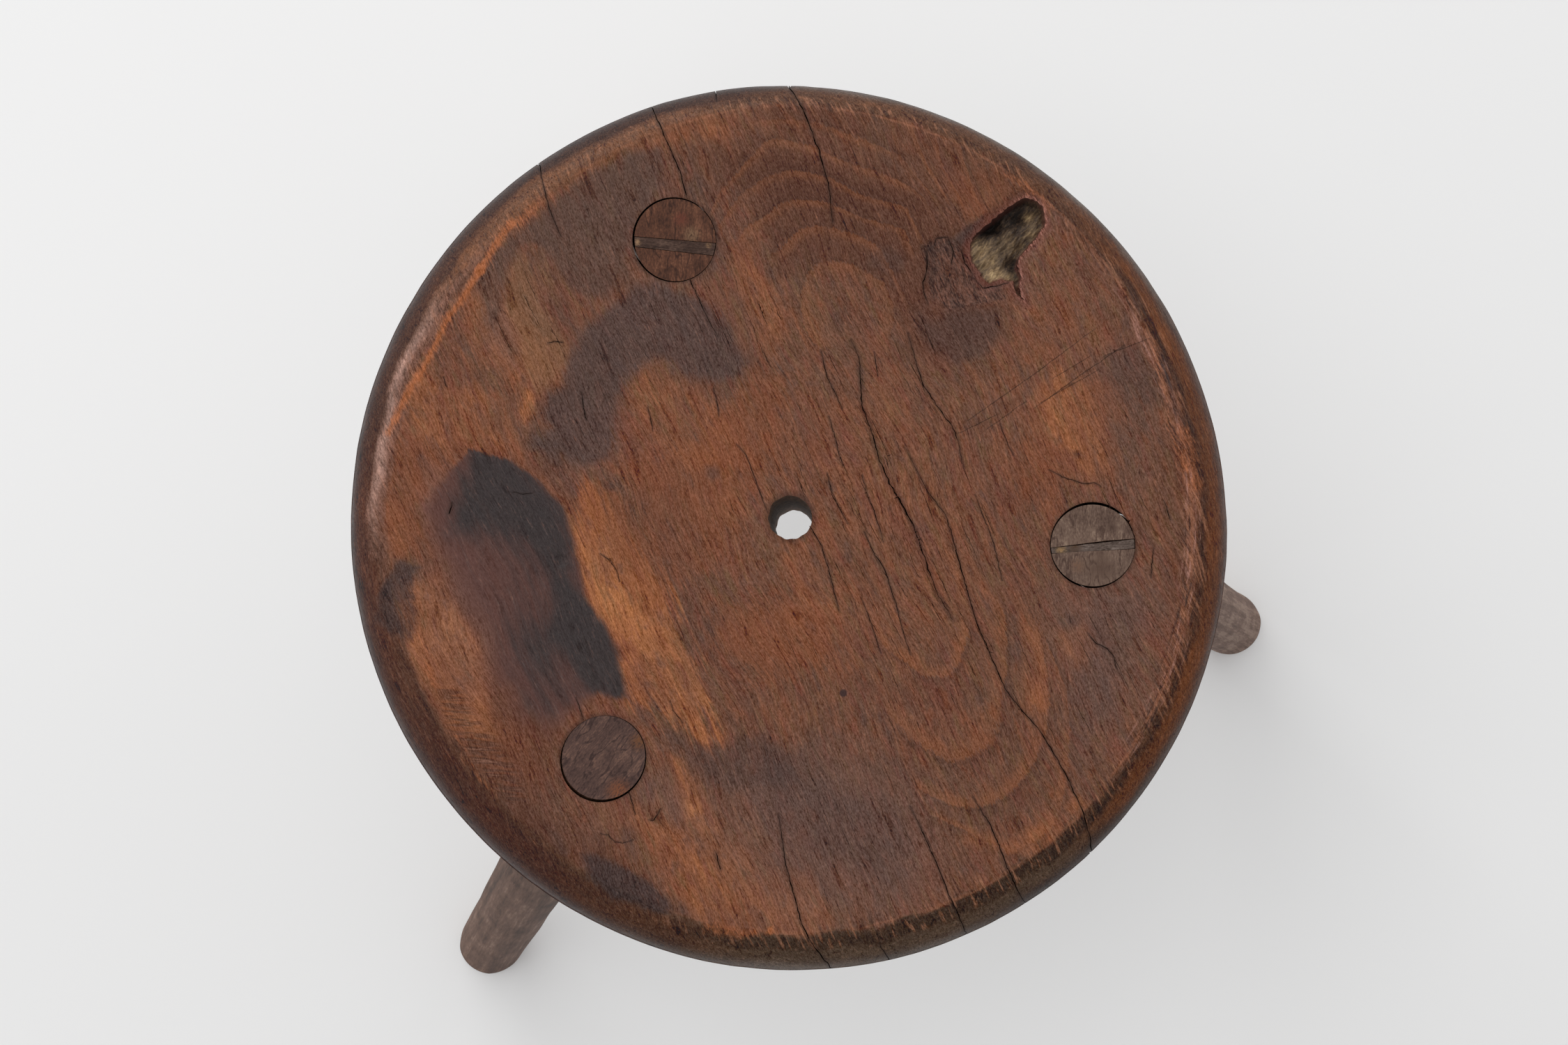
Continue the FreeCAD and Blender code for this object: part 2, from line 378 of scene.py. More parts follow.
def joined(pieces, name):
    """Join objects into one."""
    only(pieces[0])
    for piece in pieces:
        piece.select_set(True)
    bpy.ops.object.join()
    return named(name)


def cut(piece, cutter, operation="DIFFERENCE"):
    """Cut a piece with a closed cutter, which gives the cut its own material, and throw the cutter away."""
    modifier = piece.modifiers.new("cut", "BOOLEAN")
    modifier.operation = operation
    modifier.solver = "MANIFOLD"
    modifier.object = cutter
    modifier.material_mode = "TRANSFER"
    apply_modifiers(piece)
    bpy.data.objects.remove(cutter)


# %% [markdown]
# ## The seat blank
# The seat is a slice of a plank sawn nearly round: a little longer along the grain than across it,
# because wood shrinks across the grain. One point is extruded along half of the section and the section
# is spun round. The rings on the top are close together, because the splits and stains need points to
# hold them.

# %% Seat sizes
SEAT_LOW, SEAT_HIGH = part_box("seat")
TOP = SEAT_HIGH.z / MM
UNDERSIDE = SEAT_LOW.z / MM
SEAT_LENGTH = 324.8
SEAT_WIDTH = 319.5
SEAT_MIDDLE = (-1.0, -1.9)
GRAIN_HEADING = 114.6
EDGE_BAND = 19.0
EDGE_RINGS = 18
LOWER_ROUND = 8.0
LOWER_RINGS = 6
CORE_RADIUS = 3.0
TOP_RING_STEP = 2.05
SIDE_TOP = 15.0
SIDE_STEP = 4.0
UNDER_RING_STEP = 18.0
SEAT_SEGMENTS = 620


def seat_section():
    """Points of the seat's section, from the middle of the top round to the middle of the underside."""
    outside = SEAT_LENGTH / 2
    points = [(radius, TOP) for radius in np.arange(CORE_RADIUS, outside - EDGE_BAND, TOP_RING_STEP)]
    for turn in np.radians(np.linspace(0, 90, EDGE_RINGS)):
        points.append((outside - EDGE_BAND * (1 - math.sin(turn)), TOP))
    side_end = UNDERSIDE + LOWER_ROUND
    points += [(outside, height) for height in np.arange(TOP - SIDE_TOP, side_end, -SIDE_STEP)]
    for turn in np.radians(np.linspace(0, 90, LOWER_RINGS)):
        inward = LOWER_ROUND * (1 - math.cos(turn))
        points.append((outside - inward, side_end - LOWER_ROUND * math.sin(turn)))
    under_radii = np.arange(outside - 2 * LOWER_ROUND, CORE_RADIUS, -UNDER_RING_STEP)
    points += [(radius, UNDERSIDE) for radius in under_radii]
    points += [(CORE_RADIUS, UNDERSIDE), (CORE_RADIUS, TOP)]
    return points


# %% Spin the seat
bpy.ops.mesh.primitive_plane_add(size=MM)
seat = named("seat_plank")
edit_all(seat)
bpy.ops.mesh.merge(type="CENTER")
section = seat_section()
bpy.ops.transform.translate(value=(section[0][0] * MM, 0, section[0][1] * MM))
for before, after in zip(section, section[1:]):
    step = ((after[0] - before[0]) * MM, 0, (after[1] - before[1]) * MM)
    bpy.ops.mesh.extrude_region_move(TRANSFORM_OT_translate={"value": step})
bpy.ops.mesh.select_all(action="SELECT")
bpy.ops.mesh.spin(steps=SEAT_SEGMENTS, angle=2 * math.pi, center=(0, 0, 0), axis=(0, 0, 1))
end_edit()
clean_up(seat)
seat.scale = (1.0, SEAT_WIDTH / SEAT_LENGTH, 1.0)
seat.rotation_euler.z = math.radians(GRAIN_HEADING)
seat.location = (SEAT_MIDDLE[0] * MM, SEAT_MIDDLE[1] * MM, 0)
settle(seat)
print("seat blank:", len(seat.data.vertices), "points")

# %% [markdown]
# ## Wear at the edge
# Hands and trousers have rounded the upper edge, more on the left than at the back. On the right and in
# front the top still ends in a crease. The points near the edge are let down to a curve whose reach
# depends on the heading: an ellipse with a bit of straight slope in it, and that slope makes the crease.

# %% Edge wear
# By heading in degrees: how far in the wear reaches, in mm, and how much of the fall is a straight slope.
EDGE_HEADINGS = [0, 15, 30, 45, 60, 90, 105, 120, 140, 160, 180, 200, 215, 235, 255, 270, 290, 315, 340]
EDGE_REACHES = [13.5, 14.5, 12, 9.5, 9, 8.5, 10.5, 13, 15.5, 16, 15.5, 16, 18, 18, 15, 13.8, 13.4, 13, 13]
EDGE_CREASES = [0.34, 0.34, 0.3, 0.3, 0.3, 0.3, 0.25, 0.22, 0.2, 0.15, 0.1, 0.05, 0, 0, 0.15, 0.3,
                0.34, 0.34, 0.34]
DROP_START = 4.5
DROP_SHARE = 0.58
STEEPEST = 0.985


def edge_distance(x, y):
    """Distance inside the seat's outline, in mm, near enough for a seat that is almost round."""
    turn = math.radians(GRAIN_HEADING)
    from_x = x - SEAT_MIDDLE[0]
    from_y = y - SEAT_MIDDLE[1]
    along = from_x * math.cos(turn) + from_y * math.sin(turn)
    across = from_y * math.cos(turn) - from_x * math.sin(turn)
    share = np.hypot(along / (SEAT_LENGTH / 2), across / (SEAT_WIDTH / 2))
    return (1 - share) * (SEAT_LENGTH + SEAT_WIDTH) / 4


def edge_reach(x, y):
    """How far in from the outline the wear reaches, in mm, and its share of straight slope."""
    heading = np.degrees(np.arctan2(y - SEAT_MIDDLE[1], x - SEAT_MIDDLE[0]))
    reach = np.interp(heading, EDGE_HEADINGS, EDGE_REACHES, period=360)
    crease = np.interp(heading, EDGE_HEADINGS, EDGE_CREASES, period=360)
    return reach, crease


def edge_fall(x, y):
    """How far the worn edge lies below the seat's top, in mm."""
    reach, crease = edge_reach(x, y)
    share = np.clip(1 - edge_distance(x, y) / reach, 0, STEEPEST)
    rounded = 1 - np.sqrt(1 - share ** 2)
    return (DROP_START + DROP_SHARE * reach) * (crease * share + (1 - crease) * rounded)


places = point_table(seat)
on_top = places[:, 2] > TOP - 1
fall = edge_fall(places[on_top, 0], places[on_top, 1])
places[on_top, 2] -= fall
place_points(seat, places)
print("edge let down by up to", round(fall.max(), 1), "mm")

# %% [markdown]
# ## The rotted knot, first part
# Round a dead knot the wood has sunk and torn. Before the pocket is cut, the surface is let down towards
# the pocket's outline, which gives it a soft lip, and a torn flake beside it lies a little lower than the
# rest.

# %% Outlines in plan
KNOT_OUTLINE = [
    (65.4, 100.6), (67.6, 104.2), (72.2, 108), (78, 112.6), (82, 115.6), (86, 117.6), (90.4, 116.2),
    (92.8, 113), (93, 107), (90, 102.4), (86.6, 98.6), (83.8, 95.4), (82.8, 91.6), (84.2, 88),
    (83.2, 83.8), (85.2, 78.8), (82.2, 81.6), (81.2, 86), (76.4, 87), (72.4, 85.2), (70, 86.8),
    (68.6, 89.6), (66.2, 92.8), (65.2, 96.8)
]
TORN_FLAKE = [
    (48.5, 99), (54, 103.5), (60, 101), (63, 96), (67.5, 91.5), (69, 86), (77, 86), (80, 80), (66, 77.5),
    (56, 76), (49, 80)
]
LIP_DEPTH = 1.3
LIP_WIDTH = 2.6
FLAKE_DEPTH = 0.8
FLAKE_STEP = 1.2


def run_distance(plan, start, end):
    """Distance of each point from a straight run."""
    run = np.subtract(end, start)
    share = np.clip((plan - start) @ run / (run @ run), 0, 1)
    return np.linalg.norm(plan - start - share[:, None] * run, axis=1)


def depth_inside(plan, outline):
    """Distance of each point inside a closed outline, below 0 outside it."""
    nearest = np.full(len(plan), 1e6)
    inside = np.zeros(len(plan), bool)
    for start, end in zip(outline, outline[1:] + outline[:1]):
        nearest = np.minimum(nearest, run_distance(plan, start, end))
        crosses = (start[1] > plan[:, 1]) != (end[1] > plan[:, 1])
        slope = (end[0] - start[0]) / (end[1] - start[1] or 1e-9)
        inside ^= crosses & (plan[:, 0] < start[0] + (plan[:, 1] - start[1]) * slope)
    return np.where(inside, nearest, -nearest)


def soft_step(values):
    """Smooth rise from 0 at -1 to 1 at 1."""
    share = np.clip(values / 2 + 0.5, 0, 1)
    return share * share * (3 - 2 * share)


# %% Sink the wood round the knot
places = point_table(seat)
upper = places[:, 2] > TOP - SIDE_TOP + 1
plan = places[upper, :2]
sink = LIP_DEPTH * np.exp(-(np.minimum(depth_inside(plan, KNOT_OUTLINE), 0) / LIP_WIDTH) ** 2)
sink += FLAKE_DEPTH * soft_step(depth_inside(plan, TORN_FLAKE) / FLAKE_STEP)
places[upper, 2] -= sink
place_points(seat, places)
print("wood round the knot sunk by up to", round(sink.max(), 1), "mm")

# %% [markdown]
# ## Uneven surface
# No part of an old seat is flat. Two displacements give it slow hollows and small dints. They follow
# cloud noise, which comes out the same each time. A third one makes the broken strip along the crease
# rough.


# %% Hollows and dints
# The broken strip along the crease lies between two shares of the wear's reach.
STRIP_FROM = 0.6
STRIP_TO = 1.06
STRIP_RISE = 6
STRIP_FALL = 12
STRIP_LEVELS = 10


def roughen(piece, name, grain_size, depth, group=""):
    """Push the surface in and out along its normals by cloud noise of a given size and depth, in mm."""
    clouds = bpy.data.textures.new(name, "CLOUDS")
    clouds.noise_scale = grain_size * MM
    clouds.noise_depth = 2
    modifier = piece.modifiers.new(name, "DISPLACE")
    modifier.texture = clouds
    modifier.texture_coords = "LOCAL"
    modifier.strength = depth * MM
    modifier.mid_level = 0.5
    modifier.vertex_group = group
    apply_modifiers(piece)


places = point_table(seat)
reach, crease = edge_reach(places[:, 0], places[:, 1])
edge_share = edge_distance(places[:, 0], places[:, 1]) / reach
broken = soft_step((edge_share - STRIP_FROM) * STRIP_RISE)
broken = broken * soft_step((STRIP_TO - edge_share) * STRIP_FALL)
broken = broken * crease / max(EDGE_CREASES)
broken_group = seat.vertex_groups.new(name="broken_strip")
for level in range(1, STRIP_LEVELS + 1):
    members = np.nonzero(np.round(broken * STRIP_LEVELS) == level)[0]
    broken_group.add(members.tolist(), level / STRIP_LEVELS, "REPLACE")
roughen(seat, "hollows", grain_size=60, depth=1.0)
roughen(seat, "dints", grain_size=9, depth=0.3)
roughen(seat, "broken_strip", grain_size=2.6, depth=1.3, group="broken_strip")
print("seat after wear:", [round(value / MM, 1) for value in seat.dimensions], "mm")

# %% [markdown]
# ## Where the legs stand
# The three tenons were marked out with a compass from the middle hole. A leg's own space has its origin
# on the tenon's axis at the seat's top and its Z up the leg, so everything on a leg is made upright there
# and then leaned.

# %% Leg places
PITCH_RADIUS = 110.0
LEGS = {
    "back": {"azimuth": 112.5, "heading": 112.5, "splay": 13.5},
    "right": {"azimuth": -5.3, "heading": -6.0, "splay": 12.9},
    "left": {"azimuth": 232.2, "heading": 227.0, "splay": 15.5},
}


def tenon_middle(leg):
    """Middle of a tenon on the seat's top, in mm."""
    azimuth = math.radians(LEGS[leg]["azimuth"])
    return Vector((PITCH_RADIUS * math.cos(azimuth), PITCH_RADIUS * math.sin(azimuth), TOP))


def lean_with(piece, leg):
    """Put a piece that was made upright at the origin into a leg's place."""
    piece.rotation_euler = (0, -math.radians(LEGS[leg]["splay"]), math.radians(LEGS[leg]["heading"]))
    piece.location = tenon_middle(leg) * MM
    settle(piece)


print({leg: [round(value, 1) for value in tenon_middle(leg)] for leg in LEGS})

# %% [markdown]
# ## Holes
# The middle hole and the mortises were bored with an auger. Each is cut by a cylinder that leans like the
# auger did. The mortises have shrunk out of round, so the gap round a tenon is wider on one side. All
# cutters are collected and used together at the end, because one cut with many cutters is quicker than
# many cuts.

# %% Mortises
MORTISE_RADIUS = 15.1
BORE_LENGTH = 120.0
MORTISE_SIDES = 96
HOLE_SIDES = 72
MORTISES = {
    "back": {"shift": (-0.25, 0.08), "stretch": (1.012, 1.010)},
    "right": {"shift": (-0.05, 0.15), "stretch": (0.998, 1.035)},
    "left": {"shift": (-0.10, -0.45), "stretch": (1.022, 1.005)},
}
seat_wood, seat_tree, seat_shader = new_finish("seat_wood")
open_grain, open_tree, open_shader = new_finish("open_grain")
bored_wood, bored_tree, bored_shader = new_finish("bored_wood")
knot_fibre, knot_tree, knot_shader = new_finish("knot_fibre")
seat.data.materials.append(seat_wood)
cutters = []


def new_auger(radius, sides, finish):
    """Long upright cylinder for boring a hole, with the finish of the hole's wall."""
    bpy.ops.mesh.primitive_cylinder_add(vertices=sides, radius=radius * MM, depth=BORE_LENGTH * MM)
    auger = named("auger")
    auger.data.materials.append(finish)
    return auger


for leg, form in MORTISES.items():
    auger = new_auger(MORTISE_RADIUS, MORTISE_SIDES, open_grain)
    auger.scale = (*form["stretch"], 1)
    settle(auger)
    lean_with(auger, leg)
    auger.location = (form["shift"][0] * MM, form["shift"][1] * MM, 0)
    settle(auger)
    cutters.append(auger)

# %% Middle hole
# The hole narrows downwards, and wear has made its rim ragged.
HOLE_RADIUS = 7.9
HOLE_TAPER = 0.03
HOLE_LEAN = 2.8
HOLE_HEADING = -49.7
HOLE_RAGGED = 0.06
RAGGED_FINENESS = 0.35
RAGGED_SLICE = 4.0

auger = new_auger(HOLE_RADIUS, HOLE_SIDES, bored_wood)
places = point_table(auger)
for place in places:
    where = Vector((place[0] * RAGGED_FINENESS, place[1] * RAGGED_FINENESS, RAGGED_SLICE))
    ragged = HOLE_RAGGED * noise.noise(where)
    place[:2] *= 1 + ragged + HOLE_TAPER * place[2] / HOLE_RADIUS
place_points(auger, places)
auger.rotation_euler = (0, -math.radians(HOLE_LEAN), math.radians(HOLE_HEADING))
auger.location = (0, 0, TOP * MM)
settle(auger)
cutters.append(auger)
print(len(cutters), "holes marked")

# %% [markdown]
# ## Splits
# The plank has dried and split along the grain. A split is open where it reaches the edge or a tenon and
# fades out in the wood. Each one is a poly line down the seat, drawn as a curve with a narrow V as its
# bevel, wider where its points have a larger radius. A little seeded jitter makes the line jagged, as
# torn fibres are.

# %% Lines of the splits
# A line is a width in mm, which of its ends is open, and its points in mm on the seat's top.
SPLITS = {
    "back_edge_to_tenon": (0.46, "both", [
        (-55, 162), (-50.5, 150.4), (-44.4, 136.4), (-40.3, 126.7), (-38, 118)]),
    "tenon_to_middle": (0.34, "start", [(-37.2, 88.5), (-34.1, 81.3), (-30, 72.6), (-26.4, 66)]),
    "back_left_edge": (0.38, "start", [(-95, 140), (-92.3, 130.1), (-88.1, 113.1), (-83.7, 102.8)]),
    "back_edge": (0.50, "start", [
        (-3, 166), (-0.1, 158), (4.8, 149.5), (10.1, 135.6), (14.2, 120.6), (15.5, 108)]),
    "back_nick": (0.4, "start", [(-29, 164), (-27.5, 157), (-27, 153)]),
    "main_upper": (0.62, "", [
        (22, 64.8), (25.1, 58.4), (26.1, 40.9), (29.6, 31.2), (31.9, 22.1), (36.4, 11.6), (40.2, 5.3),
        (44.7, -3.1), (50, -18.7), (53, -27.1), (58.8, -37.2)]),
    "main_lower": (0.44, "end", [
        (41.5, 25.9), (50, 9.1), (56.3, 1.2), (60.1, -11.9), (64.1, -26.6), (67.1, -37.2), (77.8, -62.6),
        (84.3, -70.4), (89.8, -76.9), (96, -86.7), (101, -96.5), (105.2, -105.7), (107.9, -114),
        (109.5, -122), (111, -130)]),
    "knot_side": (0.42, "", [(49.9, 98), (49.7, 89.8), (48.4, 86), (48.6, 82.2), (50.2, 78)]),
    "knot_to_middle": (0.40, "", [
        (42.8, 67.4), (45.6, 57.2), (48.1, 48.7), (53.2, 40.8), (58.5, 33.7), (60.7, 28.1), (63, 18.2)]),
    "front_edge": (0.46, "end", [
        (-4.2, -107.6), (-1.7, -125.1), (2.1, -138.8), (4.3, -146.8), (7.8, -153.8), (13.6, -161.5),
        (20, -170)]),
    "front_nick": (0.36, "end", [(31, -149), (32.6, -155), (36, -160), (38, -168)]),
    "front_right_edge": (0.44, "end", [
        (43.2, -104.3), (47.5, -113.3), (53, -125.3), (56.5, -134.5), (63.2, -149.7), (67, -160)]),
    "right_front_edge": (0.44, "end", [
        (65.8, -100.8), (72.1, -111.3), (75.1, -118.3), (78.3, -126.8), (81.8, -134.5), (85.7, -140.5),
        (90, -150)]),
    "hole_to_front": (0.36, "start", [(7, -3), (11.4, -10.4), (13.9, -19.2), (17.7, -34.1)]),
    "beside_hole": (0.32, "", [(13.4, 16.2), (15.2, 8.4), (18.5, 2), (21, -2.5)]),
    "behind_hole": (0.30, "", [(13.9, 37.1), (15.7, 31.2), (17.7, 23.3), (19.2, 18.8)]),
    "far_behind_hole": (0.34, "", [(11.1, 61), (13.4, 51.3), (15.7, 46.7), (19, 39.6)]),
    "right_of_hole": (0.34, "", [(26, 15.7), (28.1, 7.8), (30.6, 2), (32.6, -5.1), (33.8, -8.9)]),
    "right_of_hole_lower": (0.36, "", [
        (26.8, -5.1), (30.6, -13.4), (34.3, -19.2), (38.6, -32.9)]),
    "front_of_hole": (0.28, "", [(25.7, -28.8), (29.3, -38.7), (32.8, -49.3)]),
    "front_right_of_hole": (0.28, "", [(36.3, -25.3), (38.4, -31.6), (41.1, -42.2), (43.6, -50)]),
    "behind_middle": (0.28, "", [(30.5, 60.5), (32, 51.4)]),
    "left_behind_hole": (0.26, "", [(-19.7, 27), (-15.9, 22.7), (-8.1, 1.3)]),
    "cloud_check": (0.34, "", [(-76, 46), (-75.2, 40), (-74.2, 35.5)]),
    "cloud_check_right": (0.30, "", [(-28, 47), (-26.4, 41), (-26, 37)]),
    "left_tenon_hair": (0.26, "end", [(-77.5, -65), (-75.2, -71.8), (-74.6, -73.4)]),
    "left_tenon_front": (0.32, "start", [(-58.5, -99), (-56.8, -104), (-55.8, -107.5)]),
    "slit_in_burn": (0.55, "", [(-122.6, 5.8), (-123.6, 3.2), (-124, 1.4)]),
    "dash_in_burn": (0.24, "", [(-101, 9.4), (-97, 8.6), (-93.6, 9)]),
    "nick_tail": (0.28, "", [(-69, -13), (-65.4, -15.4), (-63, -19), (-61.8, -23.4)]),
    "splinter_left": (0.36, "", [(57.6, 101.8), (59.4, 97.5), (58.6, 92.5)]),
    "splinter_right": (0.4, "", [(62.4, 98), (63.4, 93.6), (66.6, 89)]),
    "flake_front": (0.34, "", [(66.5, 88), (70, 84.2), (75, 84.6), (79.5, 86)]),
    "flake_back": (0.3, "", [(52.4, 99.5), (53.2, 102.2), (57.6, 102.6)]),
    "above_right_tenon": (0.3, "", [
        (93.6, 17.5), (99.2, 14.6), (103, 13.3), (107, 12.2), (110.5, 12.6), (112.6, 11.3)]),
    "right_front_crack": (0.34, "", [
        (107.4, -41.8), (111, -46), (114.6, -47.4), (117, -51), (118, -55)]),
    "right_check": (0.3, "", [(131.6, -11), (131, -16), (130.4, -22)]),
    "right_check_back": (0.3, "", [(135.4, 6.4), (136.4, 2.6), (137.8, -1)]),
    "scratched_check": (0.26, "", [(76, 34.3), (78.4, 28), (81, 22.5)]),
    "left_of_right_tenon": (0.26, "", [
        (67, 8.5), (69, 3), (71.2, -2.7), (73.6, -9), (76.8, -23)]),
    "front_of_left_tenon": (0.24, "", [
        (-68.6, -114.2), (-65.6, -114.8), (-63.4, -117.2), (-60, -117.6), (-56.4, -116.5)]),
    "star_check": (0.3, "", [(-51.2, -109.4), (-49.4, -109.6), (-46.6, -105.3)]),
    "front_left_pit": (0.6, "", [(-26.8, -121), (-26, -124), (-25, -127)]),
    "glow_check": (0.28, "", [(-43.6, -66), (-42.4, -69.9), (-38.7, -74.5)]),
    "left_shoulder_check": (0.4, "", [(-126.6, 51.6), (-125.9, 49.8), (-125.2, 47.8)]),
    "dry_check": (0.3, "", [(-88.6, 63.6), (-86, 64.4), (-82.8, 64.1)]),
    "below_cloud_check": (0.3, "", [(-52, 41), (-50.8, 36), (-49.8, 31.6)]),
    "scratch_long": (0.12, "", [(64, 35), (90, 53.2), (111, 69)]),
    "scratch_middle": (0.13, "", [(88, 39.2), (105, 51.6), (121.6, 63)]),
    "scratch_lower": (0.11, "", [(90.5, 41.6), (112.5, 54.2)]),
    "scratch_upper": (0.10, "", [(95, 50.4), (109, 58.8)]),
    "scratch_left": (0.11, "", [(71, 32), (86, 42.5)]),
    "scratch_far": (0.10, "", [(62, 31), (76, 38)]),
    "scratch_end": (0.11, "", [(113, 58.5), (131, 65.5)]),
}
SPLIT_STEP = 1.5
SPLIT_JITTER = 0.12
SPLIT_NARROWING = 0.8
SPLIT_FADE = 3
SPLIT_FADED_END = 0.25
SPLIT_UNEVEN = (0.55, 1.4)
SPLIT_DEPTH = 14.0
SPLIT_HEADROOM = 6.0
RAY_START = 25.0


def surface_height(x, y):
    """Height of the seat's upper side, in mm, felt from above; off the seat, the edge's lowest point."""
    hit, place, *rest = seat.ray_cast((x * MM, y * MM, (TOP + RAY_START) * MM), (0, 0, -1))
    return place.z / MM if hit else TOP - SIDE_TOP


def jagged(points, step, jitter, chance):
    """Points every few mm along a line of straight runs, each pushed a little to one side."""
    path = []
    for before, after in zip(points, points[1:]):
        run = np.subtract(after, before)
        length = np.linalg.norm(run)
        side = np.array([-run[1], run[0]]) / length
        for travelled in np.arange(0, length, step):
            path.append(before + run * travelled / length + side * chance.gauss(0, jitter))
    path.append(np.array(points[-1], float))
    return path


def split_curve(name, width, open_at, points, section, chance):
    """Curve along a split: a V section, wide where the split is open and narrow where it fades."""
    curve = bpy.data.curves.new(name, "CURVE")
    curve.dimensions = "3D"
    curve.twist_mode = "Z_UP"
    curve.bevel_mode = "OBJECT"
    curve.bevel_object = section
    curve.use_fill_caps = True
    path = jagged(points, SPLIT_STEP, SPLIT_JITTER, chance)
    line = curve.splines.new("POLY")
    line.points.add(len(path) - 1)
    for index, (point, place) in enumerate(zip(line.points, path)):
        share = index / (len(path) - 1)
        from_start = 1.0 if open_at in ("start", "both") else share * SPLIT_FADE + SPLIT_FADED_END
        from_end = 1.0 if open_at in ("end", "both") else (1 - share) * SPLIT_FADE + SPLIT_FADED_END
        fade = min(from_start, from_end, 1.0)
        point.co = (place[0] * MM, place[1] * MM, surface_height(*place) * MM, 1)
        point.radius = SPLIT_NARROWING * width / 2 * fade * chance.uniform(*SPLIT_UNEVEN)
    made = bpy.data.objects.new(name, curve)
    bpy.context.scene.collection.objects.link(made)
    only(made)
    bpy.ops.object.convert(target="MESH")
    made = bpy.context.object
    made.data.materials.clear()
    made.data.materials.append(open_grain)
    clean_up(made)
    return made


# %% Draw the splits
section_curve = bpy.data.curves.new("split_section", "CURVE")
section_curve.dimensions = "2D"
section_line = section_curve.splines.new("POLY")
V_SHAPE = [(-1.1, SPLIT_HEADROOM), (-0.9, 0), (0, -SPLIT_DEPTH), (0.9, 0), (1.1, SPLIT_HEADROOM)]
section_line.points.add(len(V_SHAPE) - 1)
section_line.use_cyclic_u = True
for point, place in zip(section_line.points, V_SHAPE):
    point.co = (place[0] * MM, place[1] * MM, 0, 1)
split_section = bpy.data.objects.new("split_section", section_curve)
bpy.context.scene.collection.objects.link(split_section)

SPLIT_SEED = 7
chance = random.Random(SPLIT_SEED)
for name, (width, open_at, points) in SPLITS.items():
    cutters.append(split_curve(name, width, open_at, points, split_section, chance))
print(len(SPLITS), "splits drawn")

# %% Drying checks
# Short hair-thin checks run along the grain, most of them in the dry heart of the plank, right of the
# hole.
CHECK_HEART = (36.0, -2.0)
CHECK_COUNT = 118
CHECK_SPREAD = (50.0, 24.0)
OTHER_CHECKS = [((-92, 68), 12, (16.0, 7.0)), ((-40, 66), 8, (12.0, 16.0)), ((15, -112), 14, (14.0, 20.0)),
                ((-20, 78), 8, (14.0, 10.0)), ((50, 66), 8, (10.0, 10.0)), ((112, -58), 12, (14.0, 9.0)),
                ((124, 4), 12, (16.0, 7.0))]
CHECK_CLEARANCE = 22.0
CHECK_REACH = (1.5, 9)
CHECK_SLANT = (-0.5, 0.5)
CHECK_WIDTH = (0.10, 0.26)

grain = np.array([math.cos(math.radians(GRAIN_HEADING)), math.sin(math.radians(GRAIN_HEADING))])
across_grain = np.array([-grain[1], grain[0]])


def add_checks(heart, count, spread):
    """Scatter short checks round a place, spread along and across the grain in mm."""
    for index in range(count):
        middle = np.array(heart) + grain * chance.gauss(0, spread[0])
        middle = middle + across_grain * chance.gauss(0, spread[1])
        reach = grain * chance.uniform(*CHECK_REACH) + across_grain * chance.uniform(*CHECK_SLANT)
        width = chance.uniform(*CHECK_WIDTH)
        if edge_distance(*middle) > CHECK_CLEARANCE:
            ends = [tuple(middle + reach), tuple(middle), tuple(middle - reach)]
            cutters.append(split_curve("check", width, "", ends, split_section, chance))


add_checks(CHECK_HEART, CHECK_COUNT, CHECK_SPREAD)
for heart, count, spread in OTHER_CHECKS:
    add_checks(heart, count, spread)
bpy.data.objects.remove(split_section)
print(len(cutters), "cutters so far")

# %% Splits in the side
# The splits that reach the edge run on down the seat's side, where a thin three-sided bar cuts them.
SIDE_SPLIT_WIDTH = 0.6
SIDE_SPLIT_RADIUS = 0.9
SIDE_SPLIT_HEIGHT = 46.0
SIDE_SPLIT_DROP = 8
BAR_SIDES = 3
BAR_BREADTH = 1.7
EDGE_SPLITS = [
    (-50.5, 150.4), (-92.3, 130.1), (-0.1, 158), (109.5, -122), (14.5, -162), (63.2, -149.7),
    (85.7, -140.5)
]
for x, y in EDGE_SPLITS:
    heading = math.atan2(y - SEAT_MIDDLE[1], x - SEAT_MIDDLE[0])
    bpy.ops.mesh.primitive_cylinder_add(vertices=BAR_SIDES, radius=SIDE_SPLIT_RADIUS * MM,
                                        depth=SIDE_SPLIT_HEIGHT * MM)
    bar = named("side_split")
    bar.scale = (SIDE_SPLIT_WIDTH / (BAR_BREADTH * SIDE_SPLIT_RADIUS), 1, 1)
    bar.rotation_euler.z = heading + math.pi / 2
    outward = edge_distance(x, y)
    bar.location = ((x + outward * math.cos(heading)) * MM, (y + outward * math.sin(heading)) * MM,
                    (TOP - SIDE_TOP - SIDE_SPLIT_DROP) * MM)
    settle(bar)
    bar.data.materials.append(open_grain)
    cutters.append(bar)
print(len(EDGE_SPLITS), "splits run on down the side")

# %% [markdown]
# ## The rotted knot, second part
# The dead knot has fallen out and left a ragged pocket, deep at the back and shallow in front, with rough
# fibres on its floor. The pocket is the common part of two solids: a jagged funnel that gives the outline
# and the walls, and a rough sloping block that gives the floor.

# %% Knot pocket
KNOT_FLOOR_MIDDLE = (76.0, 98.0)
KNOT_FLOOR_SIDE = 50.0
KNOT_SHALLOWEST = 1.6
KNOT_HEADING = 50.0
KNOT_HEADROOM = 22.0
KNOT_FUNNEL = 0.72
KNOT_HEART = (81.0, 104.0)
KNOT_STEP = 0.9
KNOT_JITTER = 0.2
FLOOR_CELLS = 130
SOUNDING_SOFTNESS = 0.5
SOUNDING_POWER = -3
# Layers of roughness: fineness along and across the knot, a slice of the noise, and a height in mm.
KNOT_LAYERS = {"lumps": (0.22, 0.4, 0, 0.9), "strands": (0.35, 1.2, 5, 0.8)}
